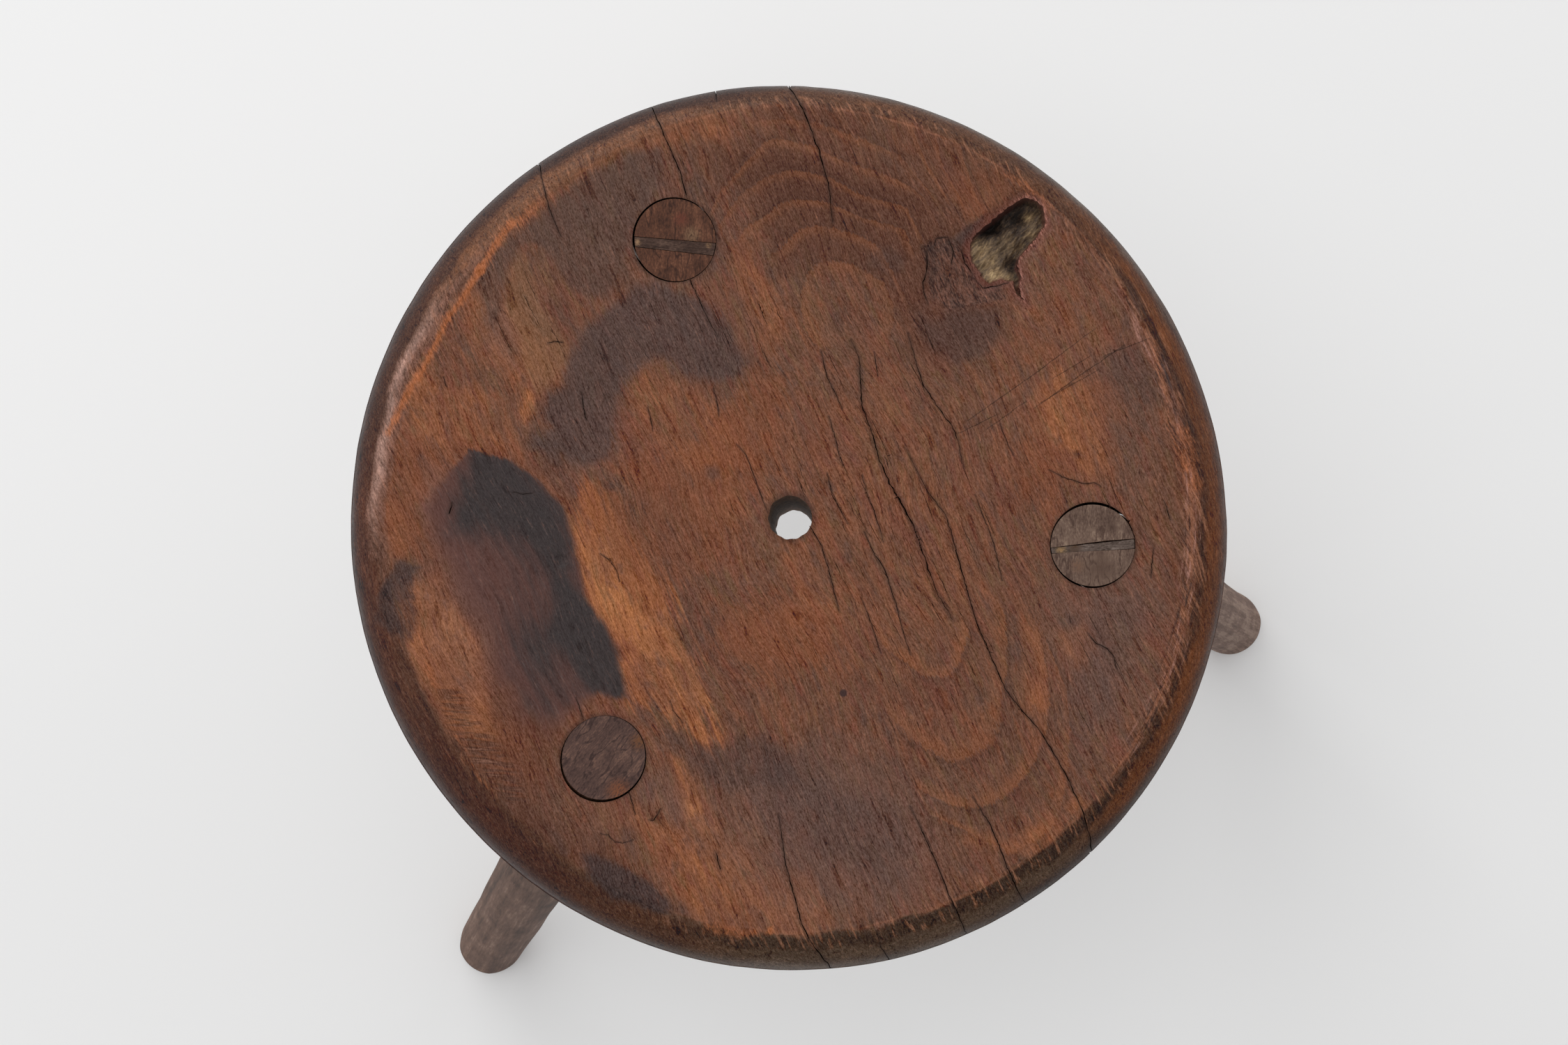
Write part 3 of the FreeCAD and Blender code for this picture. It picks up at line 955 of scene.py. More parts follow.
# Places on the pocket's floor: where, and how deep, in mm.
KNOT_SOUNDINGS = {
    "upper_groove": (73.5, 107.5, 11.0), "far_end": (84.5, 113.0, 10.0), "far_right": (89.5, 107.0, 5.0),
    "dome": (73.5, 102.0, 4.4), "dome_right": (80.0, 103.0, 5.2), "right_groove": (85.0, 98.8, 8.0),
    "right_wall": (81.5, 93.5, 7.5), "tail": (83.0, 86.0, 4.0), "front_left": (67.5, 98.5, 2.2),
    "front": (70.5, 94.0, 2.2), "hollow": (75.0, 93.0, 3.4), "front_lip": (73.0, 88.0, 1.6),
    "front_right": (78.5, 88.5, 2.4),
}


def knot_depth(x, y):
    """Depth of the pocket's floor, in mm: drawn between the soundings, with strands along the knot."""
    soundings = KNOT_SOUNDINGS.values()
    away = [math.dist((x, y), sounding[:2]) + SOUNDING_SOFTNESS for sounding in soundings]
    weights = [distance ** SOUNDING_POWER for distance in away]
    depth = sum(weight * sounding[2] for weight, sounding in zip(weights, soundings)) / sum(weights)
    turn = math.radians(KNOT_HEADING)
    along = x * math.cos(turn) + y * math.sin(turn)
    aside = y * math.cos(turn) - x * math.sin(turn)
    for fine_along, fine_aside, noise_slice, height in KNOT_LAYERS.values():
        depth += noise.noise(Vector((along * fine_along, aside * fine_aside, noise_slice))) * height
    return max(depth, KNOT_SHALLOWEST)


ring = jagged(KNOT_OUTLINE + KNOT_OUTLINE[:1], KNOT_STEP, KNOT_JITTER, chance)[:-1]
bpy.ops.mesh.primitive_circle_add(vertices=len(ring), radius=MM, fill_type="NGON")
pocket = named("knot_pocket")
place_points(pocket, [(place[0], place[1], TOP + KNOT_HEADROOM / 4) for place in ring])
edit_all(pocket)
bpy.ops.mesh.extrude_region_move(TRANSFORM_OT_translate={"value": (0, 0, -KNOT_HEADROOM / 4 * MM)})
bpy.ops.mesh.extrude_region_move(TRANSFORM_OT_translate={"value": (0, 0, -KNOT_HEADROOM * MM)})
bpy.ops.transform.resize(value=(KNOT_FUNNEL, KNOT_FUNNEL, 1),
                         center_override=(KNOT_HEART[0] * MM, KNOT_HEART[1] * MM, TOP * MM))
end_edit()
pocket.data.materials.append(knot_fibre)
clean_up(pocket)

bpy.ops.mesh.primitive_grid_add(x_subdivisions=FLOOR_CELLS, y_subdivisions=FLOOR_CELLS,
                                size=KNOT_FLOOR_SIDE * MM)
rough_floor = named("knot_floor")
places = point_table(rough_floor)
places[:, :2] += KNOT_FLOOR_MIDDLE
places[:, 2] = [TOP - knot_depth(place[0], place[1]) for place in places]
place_points(rough_floor, places)
edit_all(rough_floor)
bpy.ops.mesh.extrude_region_move(TRANSFORM_OT_translate={"value": (0, 0, KNOT_HEADROOM * MM)})
end_edit()
rough_floor.data.materials.append(knot_fibre)
clean_up(rough_floor)
cut(pocket, rough_floor, "INTERSECT")
cutters.append(pocket)
print("knot pocket:", len(pocket.data.vertices), "points")

# %% Small dents
# A dent is a middle, a radius and a depth in mm. A ball with that cap presses it in.
DENT_DETAIL = 4
DENTS = {"round_dent": ((-82.9, -15.7), 2.6, 0.6), "nick": ((-65.0, -15.6), 1.0, 0.5)}
for name, (middle, radius, depth) in DENTS.items():
    ball = (radius ** 2 + depth ** 2) / (2 * depth)
    bpy.ops.mesh.primitive_ico_sphere_add(subdivisions=DENT_DETAIL, radius=ball * MM)
    dent = named(name)
    dent.location = (middle[0] * MM, middle[1] * MM, (surface_height(*middle) + ball - depth) * MM)
    settle(dent)
    dent.data.materials.append(seat_wood)
    cutters.append(dent)
print(len(DENTS), "dents marked")

# %% Cut everything at once
cut(seat, joined(cutters, "all_cutters"))
print("seat after cutting:", len(seat.data.vertices), "points,", len(seat.data.polygons), "faces")

# %% [markdown]
# ## Marks on the seat
# The seat's colour is a map of its life: a burn, damp clouds, patches worn down to bright wood, growth
# rings cut by the saw. Each is stored on the mesh as an attribute, one number per point. Outlines become
# distances in mm, which stay smooth between points, and the finish turns them into edges as soft or as
# crisp as it likes.

# %% Burn, cloud and other crisp outlines
BURN = [
    (-116.3, 26.5), (-107, 22.5), (-98.8, 17.8), (-90.4, 12.2), (-83.4, 4.2), (-79.8, -3.8), (-78, -11),
    (-76.6, -20), (-75, -28), (-71.5, -33), (-66.6, -40), (-63, -48), (-60, -56), (-57.8, -64.5),
    (-63, -65.5), (-70, -62.5), (-76, -66.5), (-82, -74), (-90, -77), (-97, -72), (-101.5, -62.5),
    (-107, -60), (-109, -52), (-108.5, -45), (-113, -36), (-118, -28), (-125, -15), (-130, -5),
    (-132.4, 3), (-128, 11), (-123, 18.5)
]
CLOUD = [
    (-80, 60), (-77.5, 68), (-71, 72.5), (-66, 79), (-58, 85), (-46, 85.5), (-34, 80), (-24, 74),
    (-19, 66), (-13, 56), (-20, 51), (-28, 49.5), (-40, 52), (-46, 57), (-54, 57), (-60, 51), (-63, 42),
    (-62, 30), (-66, 22), (-74, 18), (-84, 21), (-94, 25.5), (-94.5, 30.5), (-88, 33.5), (-92, 38),
    (-89, 46), (-81, 48)
]
DARK_BACK = [
    (-113, 92), (-108, 97.5), (-97, 107.5), (-90, 112.5), (-84, 118.5), (-80, 123), (-68, 130),
    (-58, 133.5), (-48, 135), (-46, 130), (-50, 118), (-58, 104), (-60, 92), (-62, 84), (-72, 80),
    (-82, 84), (-90, 98), (-98, 100), (-104, 90), (-105, 80), (-108, 69), (-112, 74), (-115.5, 85)
]
GLOW = [
    (-79, 1), (-76, 9), (-70, 13), (-65.5, 9), (-61, -1), (-55, -12), (-48, -22), (-42.8, -30), (-38, -43),
    (-32.5, -57), (-29, -68), (-26, -77), (-25.5, -82), (-35, -82.5), (-42, -76.5), (-49, -70), (-56, -67),
    (-60, -57), (-66, -41), (-74, -29), (-77, -14)
]
DRY_STREAK = [
    (-100, 98), (-93, 84), (-85, 66), (-81, 57), (-86, 50), (-92, 45), (-97, 52), (-98, 62), (-103, 74),
    (-104, 88)
]
CHATTER = [
    (-130, -58), (-121, -62), (-110, -76), (-100, -92), (-94, -102), (-102, -104), (-112, -92), (-123, -76)
]

# %% Worn and dull patches
# Each patch is a strength, the softness of its edge in mm, and its outline. The light patch in front is
# both worn and grey.
FRONT_LIGHT = [
    (-44, -100), (-34, -102), (-20, -116), (-4, -132), (9, -143), (6, -149), (-8, -148), (-18, -138),
    (-30, -122), (-40, -110)
]
WORN_PATCHES = {
    "behind_burn": (0.36, 5, [
        (-142, 44), (-134, 54), (-126, 50), (-116, 48), (-104, 44), (-98, 30), (-100, 22), (-110, 25),
        (-118, 29), (-126, 24), (-135, 26), (-142, 34)]),
    "glow_heart": (0.28, 4, [
        (-77, -12), (-71, -14), (-60, -28), (-50, -42), (-48, -50), (-56, -52), (-64, -42), (-74, -28)]),
    "back_fingers": (0.26, 2.5, [
        (-100, 112), (-90, 119), (-80, 127), (-68, 134), (-56, 139), (-44, 146), (-30, 149), (-20, 148),
        (-22, 141), (-34, 137), (-46, 136), (-58, 134.5), (-68, 131), (-80, 124.5), (-90, 114)]),
    "left_of_middle": (0.3, 5, [
        (-60, 48), (-55, 55), (-46, 55), (-40, 50), (-32, 46), (-26, 40), (-20, 33), (-16, 22), (-26, 14),
        (-42, 20), (-52, 26), (-60, 36)]),
    "by_cloud": (0.6, 1.5, [(-98, 46), (-93.5, 46), (-92.5, 38), (-95, 33), (-98, 37)]),
    "left_of_burn": (0.58, 3, [
        (-143, -26), (-128, -20), (-120, -32), (-112, -43), (-110, -56), (-107, -72), (-104, -80),
        (-112, -83), (-124, -75), (-133, -61), (-141, -44)]),
    "left_edge": (0.35, 3, [(-149, 8), (-143, 6), (-136, -6), (-140, -13), (-146, -10), (-150, -2)]),
    "front_left": (0.4, 3, [
        (-56, -104), (-46, -102), (-40, -112), (-32, -122), (-20, -136), (-12, -147), (-20, -150),
        (-32, -148), (-40, -138), (-49, -126), (-56, -112)]),
    "front_light": (0.5, 4, FRONT_LIGHT),
    "dry": (0.42, 6, [
        (-119, 80), (-108, 86), (-98, 74), (-86, 62), (-82, 54), (-90, 46), (-104, 48), (-115, 62)]),
    "below_burn": (0.26, 6, [
        (-124, -74), (-112, -70), (-98, -80), (-86, -92), (-93, -102), (-108, -97), (-120, -86)]),
    "below_left_tenon": (0.25, 4, [(-76, -104), (-62, -101), (-56, -107), (-62, -115), (-74, -112)]),
    "front_of_hole": (0.2, 8, [(-22, -36), (0, -29), (18, -30), (21, -46), (6, -57), (-14, -54)]),
    "right_of_knot": (0.18, 8, [(86, 84), (104, 82), (118, 64), (112, 55), (92, 60)]),
    "left_tenon": (0.42, 2, [(-44, -86), (-38, -88), (-34, -98), (-30, -106), (-36, -108), (-41, -98)]),
    "right_of_middle": (0.36, 5, [
        (88, 48), (98, 54), (110, 46), (116, 34), (118, 20), (112, 12), (100, 14), (92, 28)]),
    "right_streak": (0.4, 3, [(84, -38), (92, -40), (94, -58), (92, -72), (86, -70), (83, -54)]),
    "right_outer_streak": (0.4, 3, [(97, -36), (106, -38), (110, -48), (104, -56), (97, -50)]),
    "right_crease": (0.03, 2.2, [
        (130, -40), (142, -32), (141, -46), (136, -60), (128, -76), (120, -90), (111, -101), (107, -99),
        (116, -84), (124, -68), (125, -56)]),
    "under_knot": (0.5, 1.4, [(70.5, 82.5), (75, 82.8), (76.5, 79.5), (72, 77.5), (69.5, 79.5)]),
    "left_of_knot": (0.3, 1.4, [(52.5, 80.5), (55.5, 81), (56, 77.5), (53, 76.8)]),
    "front_middle": (0.28, 4, [(0, -126), (6, -128), (16, -140), (20, -148), (6, -150), (2, -140)]),
    "front_right": (0.4, 2, [
        (84, -114), (96, -108), (104, -100), (106, -104), (98, -113), (88, -121), (78, -123), (62, -116),
        (64, -114), (76, -119)]),
    "back_tenon": (0.25, 5, [(-26, 92), (-14, 98), (-6, 88), (0, 70), (-6, 58), (-14, 66), (-18, 78)]),
    "middle": (0.17, 12, [
        (-34, 22), (-4, 44), (40, 48), (76, 14), (70, -36), (34, -50), (0, -32), (-26, -12)]),
    "right": (0.12, 8, [(74, 60), (100, 62), (116, 44), (112, 22), (86, 20), (74, 40)]),
}
DULL_PATCHES = {
    "front": (0.5, 6, [
        (-14, -97), (-6, -86), (8, -87), (20, -99), (36, -107), (43, -118), (32, -127), (14, -123),
        (0, -116), (-8, -106)]),
    "left_tenon": (0.6, 3.5, [
        (-46, -77), (-35, -83), (-22, -81), (-10, -79), (0, -84), (2, -95), (-10, -96), (-22, -98),
        (-36, -91)]),
    "below_knot": (0.75, 3, [
        (46, 76), (52, 71), (58, 77), (70, 77), (77, 75), (76, 67), (70, 59), (60, 56), (52, 61), (46, 68)]),
    "beside_knot": (0.6, 2.5, [(29, 97), (36, 99), (42, 95), (40, 89), (32, 89), (28, 92)]),
    "right": (0.5, 4, [(116, 60), (126, 62), (132, 54), (134, 42), (128, 38), (120, 42), (114, 50)]),
    "right_front": (0.3, 5, [
        (112, -28), (122, -36), (121, -55), (118, -68), (108, -76), (99, -68), (105, -52), (107, -40)]),
    "left_of_middle": (0.25, 5, [
        (-58, 8), (-46, 10), (-38, -6), (-30, -24), (-36, -30), (-46, -18), (-54, -4)]),
    "back_tenon": (0.3, 6, [
        (-62, 118), (-48, 132), (-30, 128), (-22, 110), (-26, 92), (-40, 86), (-60, 88)]),
    "below_left_tenon": (0.15, 5, [
        (-100, -88), (-84, -100), (-60, -104), (-50, -112), (-58, -122), (-76, -118), (-92, -108)]),
    "glow_foot": (0.3, 3, [(-56, -44), (-48, -44), (-42, -56), (-40, -68), (-48, -70), (-54, -62)]),
    "burn_to_cloud": (0.5, 3, [(-96, 28), (-84, 25), (-75, 12), (-79, 5), (-88, 13), (-96, 19)]),
    "knot_tip": (1.2, 1.2, [
        (57, 101), (62, 105.5), (68, 109), (72, 111), (70, 106), (66, 102.5), (61, 99)]),
    "spot_by_hole": (0.8, 1.4, [(-31, 20), (-27, 20), (-26, 15), (-29, 13.5), (-31, 16)]),
    "spot_by_burn": (0.8, 1.1, [(-67.5, 12.6), (-64.5, 12.6), (-64.5, 9.8), (-67, 9.8)]),
    "spot_right": (0.8, 1.1, [(102, 24), (105, 24), (105, 21.4), (102, 21.4)]),
    "spot_right_front": (0.7, 1.8, [(97, -36), (103, -35.6), (104, -39), (98, -39.6)]),
    "spot_far_right": (0.7, 1, [(125, -51.4), (128.6, -51.6), (128.4, -53.2), (125.2, -53)]),
    "streak_lower_left": (0.6, 2, [(-90, -110), (-86, -112), (-80, -120), (-82, -123), (-87, -117)]),
}
GREY_PATCHES = {
    "front": (1, 14, [(-24, -92), (20, -84), (46, -100), (56, -124), (40, -146), (4, -140), (-14, -118)]),
    "right_front": (0.9, 12, [(96, -26), (124, -20), (134, -34), (124, -66), (106, -84), (98, -60)]),
    "right_back": (0.35, 10, [(104, 66), (128, 60), (132, 30), (124, 6), (112, 20), (106, 44)]),
    "left": (0.7, 8, [(-136, -16), (-120, -24), (-112, -40), (-106, -60), (-116, -74), (-132, -50)]),
    "left_of_burn": (0.9, 4, [
        (-133, 20), (-125, 18), (-119, 0), (-110, -28), (-102, -46), (-108, -50), (-118, -32), (-128, -10),
        (-134, 6)]),
    "front_light": (0.5, 4, FRONT_LIGHT),
    "below_left_tenon": (0.8, 4, [(-54, -92), (-44, -90), (-38, -104), (-42, -114), (-52, -108)]),
    "dry": (1, 4, [(-112, 78), (-104, 80), (-98, 60), (-103, 54), (-110, 62)]),
}
CHAR_PATCHES = {
    "back": (1, 8, [
        (-121, 6), (-114, 30), (-100, 22), (-82, 4), (-76, -12), (-82, -24), (-92, -12), (-110, -6),
        (-124, -6)]),
    "right": (1, 6, [(-84, -26), (-72, -28), (-62, -44), (-56, -62), (-62, -68), (-74, -60), (-84, -44)]),
    "middle": (0.36, 9, [(-112, -8), (-92, -10), (-80, -24), (-78, -44), (-90, -54), (-103, -40)]),
    "front": (0.45, 9, [(-104, -40), (-84, -40), (-74, -62), (-86, -80), (-100, -72)]),
}
RED_PATCHES = {
    "back_rings": (1.25, 6, [
        (-36, 134), (-10, 138), (16, 127), (40, 119), (60, 113), (66, 100), (78, 84), (80, 70), (60, 58),
        (42, 60), (36, 84), (20, 92), (-4, 92), (-14, 116)]),
    "back_middle": (0.6, 8, [(-10, 154), (30, 156), (66, 140), (84, 122), (60, 116), (30, 112), (-4, 118)]),
    "below_burn": (0.8, 6, [(-106, -56), (-92, -72), (-80, -76), (-82, -94), (-94, -104), (-112, -84)]),
    "front_left": (0.8, 5, [
        (-100, -100), (-84, -108), (-66, -116), (-56, -126), (-50, -140), (-66, -142), (-84, -130),
        (-98, -116)]),
    "left_rim": (0.8, 5, [
        (-146, -44), (-128, -64), (-106, -92), (-86, -112), (-94, -124), (-118, -104), (-140, -74)]),
    "by_burn": (0.25, 4, [
        (-140, -2), (-130, 2), (-126, -14), (-118, -28), (-112, -42), (-120, -40), (-134, -18)]),
    "right_edge": (0.5, 5, [(146, 30), (152, 6), (150, -24), (138, -30), (138, 4), (134, 30)]),
}
WARM_PATCHES = {
    "left_of_hole": (0.9, 8, [
        (-62, 20), (-32, 32), (-12, 56), (0, 52), (-4, 28), (-14, 10), (-22, -14), (-40, -26), (-56, -6)]),
    "front_of_hole": (0.9, 8, [(-26, -30), (14, -31), (18, -52), (-10, -60), (-28, -50)]),
    "right": (0.8, 6, [(77, 28), (99, 27), (99, 3), (80, 3)]),
    "glow_top": (0.9, 3, [
        (-80, 6), (-74, 14), (-66, 12), (-58, 0), (-50, -14), (-44, -30), (-50, -38), (-58, -24),
        (-66, -8), (-74, -2)]),
    "far_right": (0.8, 5, [(108, 51), (122, 49), (122, 33), (110, 33)]),
    "behind_knot": (0.8, 5, [(56, 127), (82, 128), (94, 119), (84, 118), (72, 110), (60, 108)]),
    "right_edge": (1, 3, [(139, 38), (148, 34), (149, 8), (142, 8)]),
    "left_edge": (0.9, 4, [
        (-152, 30), (-140, 30), (-128, 25), (-125, 15), (-135, 4), (-133, -14), (-142, -16), (-152, -8)]),
    "dry": (0.3, 4, [(-126, 88), (-114, 88), (-99, 54), (-92, 26), (-100, 26), (-113, 50), (-123, 70)]),
    "lower_left": (0.8, 5, [(-135, -46), (-120, -50), (-97, -78), (-92, -96), (-112, -92), (-130, -66)]),
    "back_left": (0.7, 4, [(-48, 148), (-34, 148), (-34, 138), (-47, 137)]),
}


def patch_sum(plan, patches):
    """Sum of soft-edged patches at each point."""
    total = np.zeros(len(plan))
    for strength, softness, outline in patches.values():
        total += strength * soft_step(depth_inside(plan, outline) / softness)
    return total


# %% Stains, and pale lines with painted highlights, on the worn edge
RIM_STAINS = {
    "left": (0.85, 1.6, [
        (-149.9, -29), (-146, -20.6), (-142.7, -14.4), (-133, -17.5), (-135.5, -21), (-136, -28.5),
        (-141, -31)]),
    "left_low": (0.68, 2, [
        (-151.9, -37.2), (-149.9, -29), (-141, -31), (-136, -28.5), (-135, -38.5), (-137, -46),
        (-147.4, -42.1)]),
    "right_crack": (0.8, 0.8, [
        (134, 63), (135.6, 50), (137.8, 40), (139.6, 31), (141, 31), (139.6, 41), (137.4, 51), (135.6, 63)]),
    "front_low": (0.35, 2, [
        (-58, -134), (-40, -139), (-20, -142), (-8, -143), (-8, -149), (-30, -147.5), (-50, -142)]),
    "front_left": (1, 2.6, [
        (-75, -121), (-60, -126), (-50, -131), (-43, -139), (-43.2, -144.1), (-52.2, -142.2),
        (-64.7, -137.5), (-73, -130)]),
}
# Light patches and lines along the crease: partly pale worn wood, partly painted highlights.
RIM_PALE_AND_HIGHLIGHTS = {
    "right": (0.45, 1.6, [(140, 34), (145, 33), (149, 20), (149, 9), (144, 10), (142, 22)]),
    "behind_knot": (0.4, 1.4, [
        (77, 124), (84, 121.5), (90, 116), (93, 111), (96, 113), (91, 119), (84, 125.5)]),
    "front": (0.45, 1.3, [
        (-32.6, -150.4), (-22.1, -151.3), (-11.5, -151), (-11.3, -148), (-20.2, -147.6), (-26.3, -145.2),
        (-31.9, -146.9)]),
    "front_fleck": (0.8, 0.8, [(-9, -151), (-6.5, -151), (-6, -147.5), (-8.5, -147)]),
    "back_left": (0.5, 1.6, [(-103, 108.5), (-97, 114), (-92, 117), (-92.5, 112), (-99, 106)]),
}
# A line is a strength, a half width and a softness in mm, and its points.
RIM_LINES = {
    "left_crease": (0.85, 1.4, 0.9, [
        (-146.6, 31), (-143, 38), (-138.4, 47.6), (-133.6, 54.6), (-128.8, 64.4), (-125, 73.2),
        (-120.2, 79.2), (-116.2, 86), (-113.2, 90.8)]),
    "back_left_crease": (0.8, 1.6, 1.2, [(-113.2, 90.8), (-109.2, 97.5), (-106.2, 102.4), (-102.4, 107.4)]),
    "right_crease": (0.4, 0.8, 1, [(132.6, 64.5), (134.5, 52), (136.8, 40), (138.7, 29.7), (142, 18)]),
    "left_shoulder": (0.55, 0.9, 1.1, [(-134.5, -40), (-131.5, -50), (-130, -58), (-127.5, -65)]),
    "lower_left_shoulder": (0.45, 0.9, 1.3, [(-121.5, -78), (-116.5, -88), (-110.5, -96), (-107.5, -101)]),
}


def line_sum(plan, lines):
    """Sum of soft-edged lines at each point."""
    total = np.zeros(len(plan))
    for strength, half_width, softness, points in lines.values():
        away = np.min([run_distance(plan, start, end) for start, end in zip(points, points[1:])], axis=0)
        total += strength * soft_step((half_width - away) / softness)
    return total


# %% Growth rings
# The saw cut the rings lengthwise, so they show as long ovals that close in arches near both ends of the
# grain. The arches are drawn from the inside out, each from left to right; their ends run on along the
# grain.
ARCHES_BACK = [
    [(14.2, 51.9), (11.4, 59.5), (6.7, 65.2), (3.9, 70.9), (3.4, 81.2), (5.8, 88.7), (10.1, 93.4),
     (15.1, 94.2), (24.2, 92.3), (34, 86.7), (37.8, 79.6), (38.5, 71.5), (35.8, 64.4)],
    [(-9.3, 95.4), (-4.5, 98.3), (0.1, 103.1), (3, 106), (8.7, 107.4), (16.2, 106.2), (21.8, 104.5),
     (27.5, 102.6), (33.3, 98.3)],
    [(-21.2, 97.9), (-18.7, 103.4), (-16.2, 107.2), (-9.3, 110.7), (-4, 115.2), (1.6, 116.8),
     (12.4, 115.9), (20.4, 112.6), (27.5, 109.3), (35.3, 107.6), (41.6, 105.9)],
    [(-27.3, 106), (-21.5, 114.5), (-17.8, 119.3), (-12.1, 123.1), (-7.4, 125.9), (0, 127.5), (6.8, 126.9),
     (14.4, 125), (20, 121.5), (25.7, 118.1), (35.1, 115.6), (42.4, 113.8)],
    [(-31.3, 108.1), (-26.3, 118.3), (-20.2, 125.4), (-15, 131.7), (-11.1, 137), (-5.6, 139.8), (0, 139),
     (9.6, 136.3), (16.2, 132.4), (23.8, 129.3), (31.4, 127.1), (38.8, 124.1), (45.5, 120.3),
     (50.1, 116.4), (53.9, 108.8)],
    [(-40.4, 113.2), (-36.4, 129.5), (-28.4, 139.8), (-14.2, 145.4), (0, 146.4), (10.1, 144.7),
     (16.2, 142.8), (25.7, 139), (37, 134.5), (42.5, 130.1), (47.5, 123.4), (52.2, 116.8), (56.1, 110.1)],
    [(-170, 60), (-170, 190), (36, 190), (44.2, 148), (46, 140.8), (47.9, 134.6), (50.4, 129.1),
     (54.9, 121.7), (58.6, 114.5)],
    [(-172, 60), (-172, 192), (46, 192), (53.7, 143.9), (54.1, 136.7), (54.7, 131.2), (57.7, 124.6),
     (61.7, 117.7)],
    [(-174, 60), (-174, 194), (56, 194), (62.2, 137.7), (64, 130.3), (66.2, 123.1), (67.7, 118.3)],
    [(-176, 60), (-176, 196), (66, 196), (70.8, 131.6), (71.9, 124.4), (73.8, 118.3)],
]
ARCHES_FRONT = [
    [(30.8, -42), (34.8, -48.4), (42, -53.2), (45.2, -56.2), (49.2, -58), (55.6, -58.4), (58.8, -56.6),
     (60.8, -53.6), (63.2, -46.8), (65.2, -40.4)],
    [(33, -68), (36.4, -73.3), (39.6, -77.4), (42.8, -81), (46.8, -83), (50.8, -85.4), (54, -87.5),
     (58, -89.3), (61.2, -88.4), (66, -86.8), (70.8, -84.3), (74, -81), (76, -75), (76.8, -66),
     (78.6, -56), (78.6, -46), (78, -34)],
    [(36, -88), (41.2, -95), (45.2, -98.4), (51.6, -102), (58, -104.7), (64.4, -105.7), (69.2, -105.2),
     (75.6, -102.7), (81.2, -98.3), (85.2, -93.6), (88.4, -88.6), (92, -80), (94.4, -68), (93.6, -58),
     (92, -48), (90, -38)],
    [(50, -107), (56, -109.6), (62, -112.5), (67.6, -116), (74, -119.3), (78.8, -122.3), (84, -120),
     (90, -116.4), (95, -111.6), (98.6, -103), (100.6, -90), (101.2, -76.5), (100, -62)],
]
ARCH_RUN = 150.0
ARCH_FADE = 14.0
RING_MIDDLE = (34.4, 10.9)
RINGS_PER_MM_DOWN = 0.1
RING_PATCHES = {
    "back": (0.7, 6, [
        (-32, 110), (-24, 130), (-12, 144), (14, 150), (38, 146), (46, 128), (54, 110), (44, 96), (40, 84),
        (39, 68), (26, 60), (2, 62), (-1, 82), (-10, 96)]),
    "upper_right": (0.55, 4, [(38, 152), (60, 146), (78, 134), (78, 118), (60, 112), (48, 120), (42, 134)]),
    "front": (0.9, 6, [
        (28, -40), (36, -70), (40, -98), (58, -114), (80, -126), (100, -112), (104, -88), (99, -58),
        (92, -36), (78, -28), (66, -36), (52, -44)]),
}


def arch_count(plan, arches, run_on):
    """Number of arches between the middle and each point, with the share of the way to the next one."""
    shift = np.multiply(run_on, ARCH_RUN)
    depths = []
    for arch in arches:
        ends = [tuple(np.add(arch[-1], shift)), tuple(np.add(arch[0], shift))]
        depths.append(depth_inside(plan, arch + ends))
    count = 1 - np.clip(depths[0] / ARCH_FADE, 0, 0.98)
    for number, (inner, outer) in enumerate(zip(depths, depths[1:]), start=1):
        count = np.where((inner <= 0) & (outer > 0), number - inner / (outer - inner + 1e-6), count)
    return np.where(depths[-1] <= 0, len(arches) + np.clip(-depths[-1] / ARCH_FADE, 0, 0.98), count)


def ring_count(plan, sunk):
    """Ring number at each point, and how clearly the rings show there."""
    at_back = (plan - RING_MIDDLE) @ grain > 0
    count = np.where(at_back, arch_count(plan, ARCHES_BACK, -grain), arch_count(plan, ARCHES_FRONT, grain))
    return count + sunk * RINGS_PER_MM_DOWN, np.minimum(patch_sum(plan, RING_PATCHES), 1)


# %% Colour of the worn edge, with painted light and shade
# By heading: rust on the right, olive in front, dark red-brown at the lower left; the darker ones partly
# painted shade.
EDGE_SHADE_HEADINGS = [0, 45, 90, 130, 165, 195, 230, 270, 315]
EDGE_SHADES = [wood(100, 62, 42), wood(88, 58, 42), wood(88, 60, 44), wood(96, 66, 48), wood(88, 58, 45),
               wood(84, 55, 42), wood(78, 50, 36), wood(92, 72, 56), wood(84, 60, 45)]
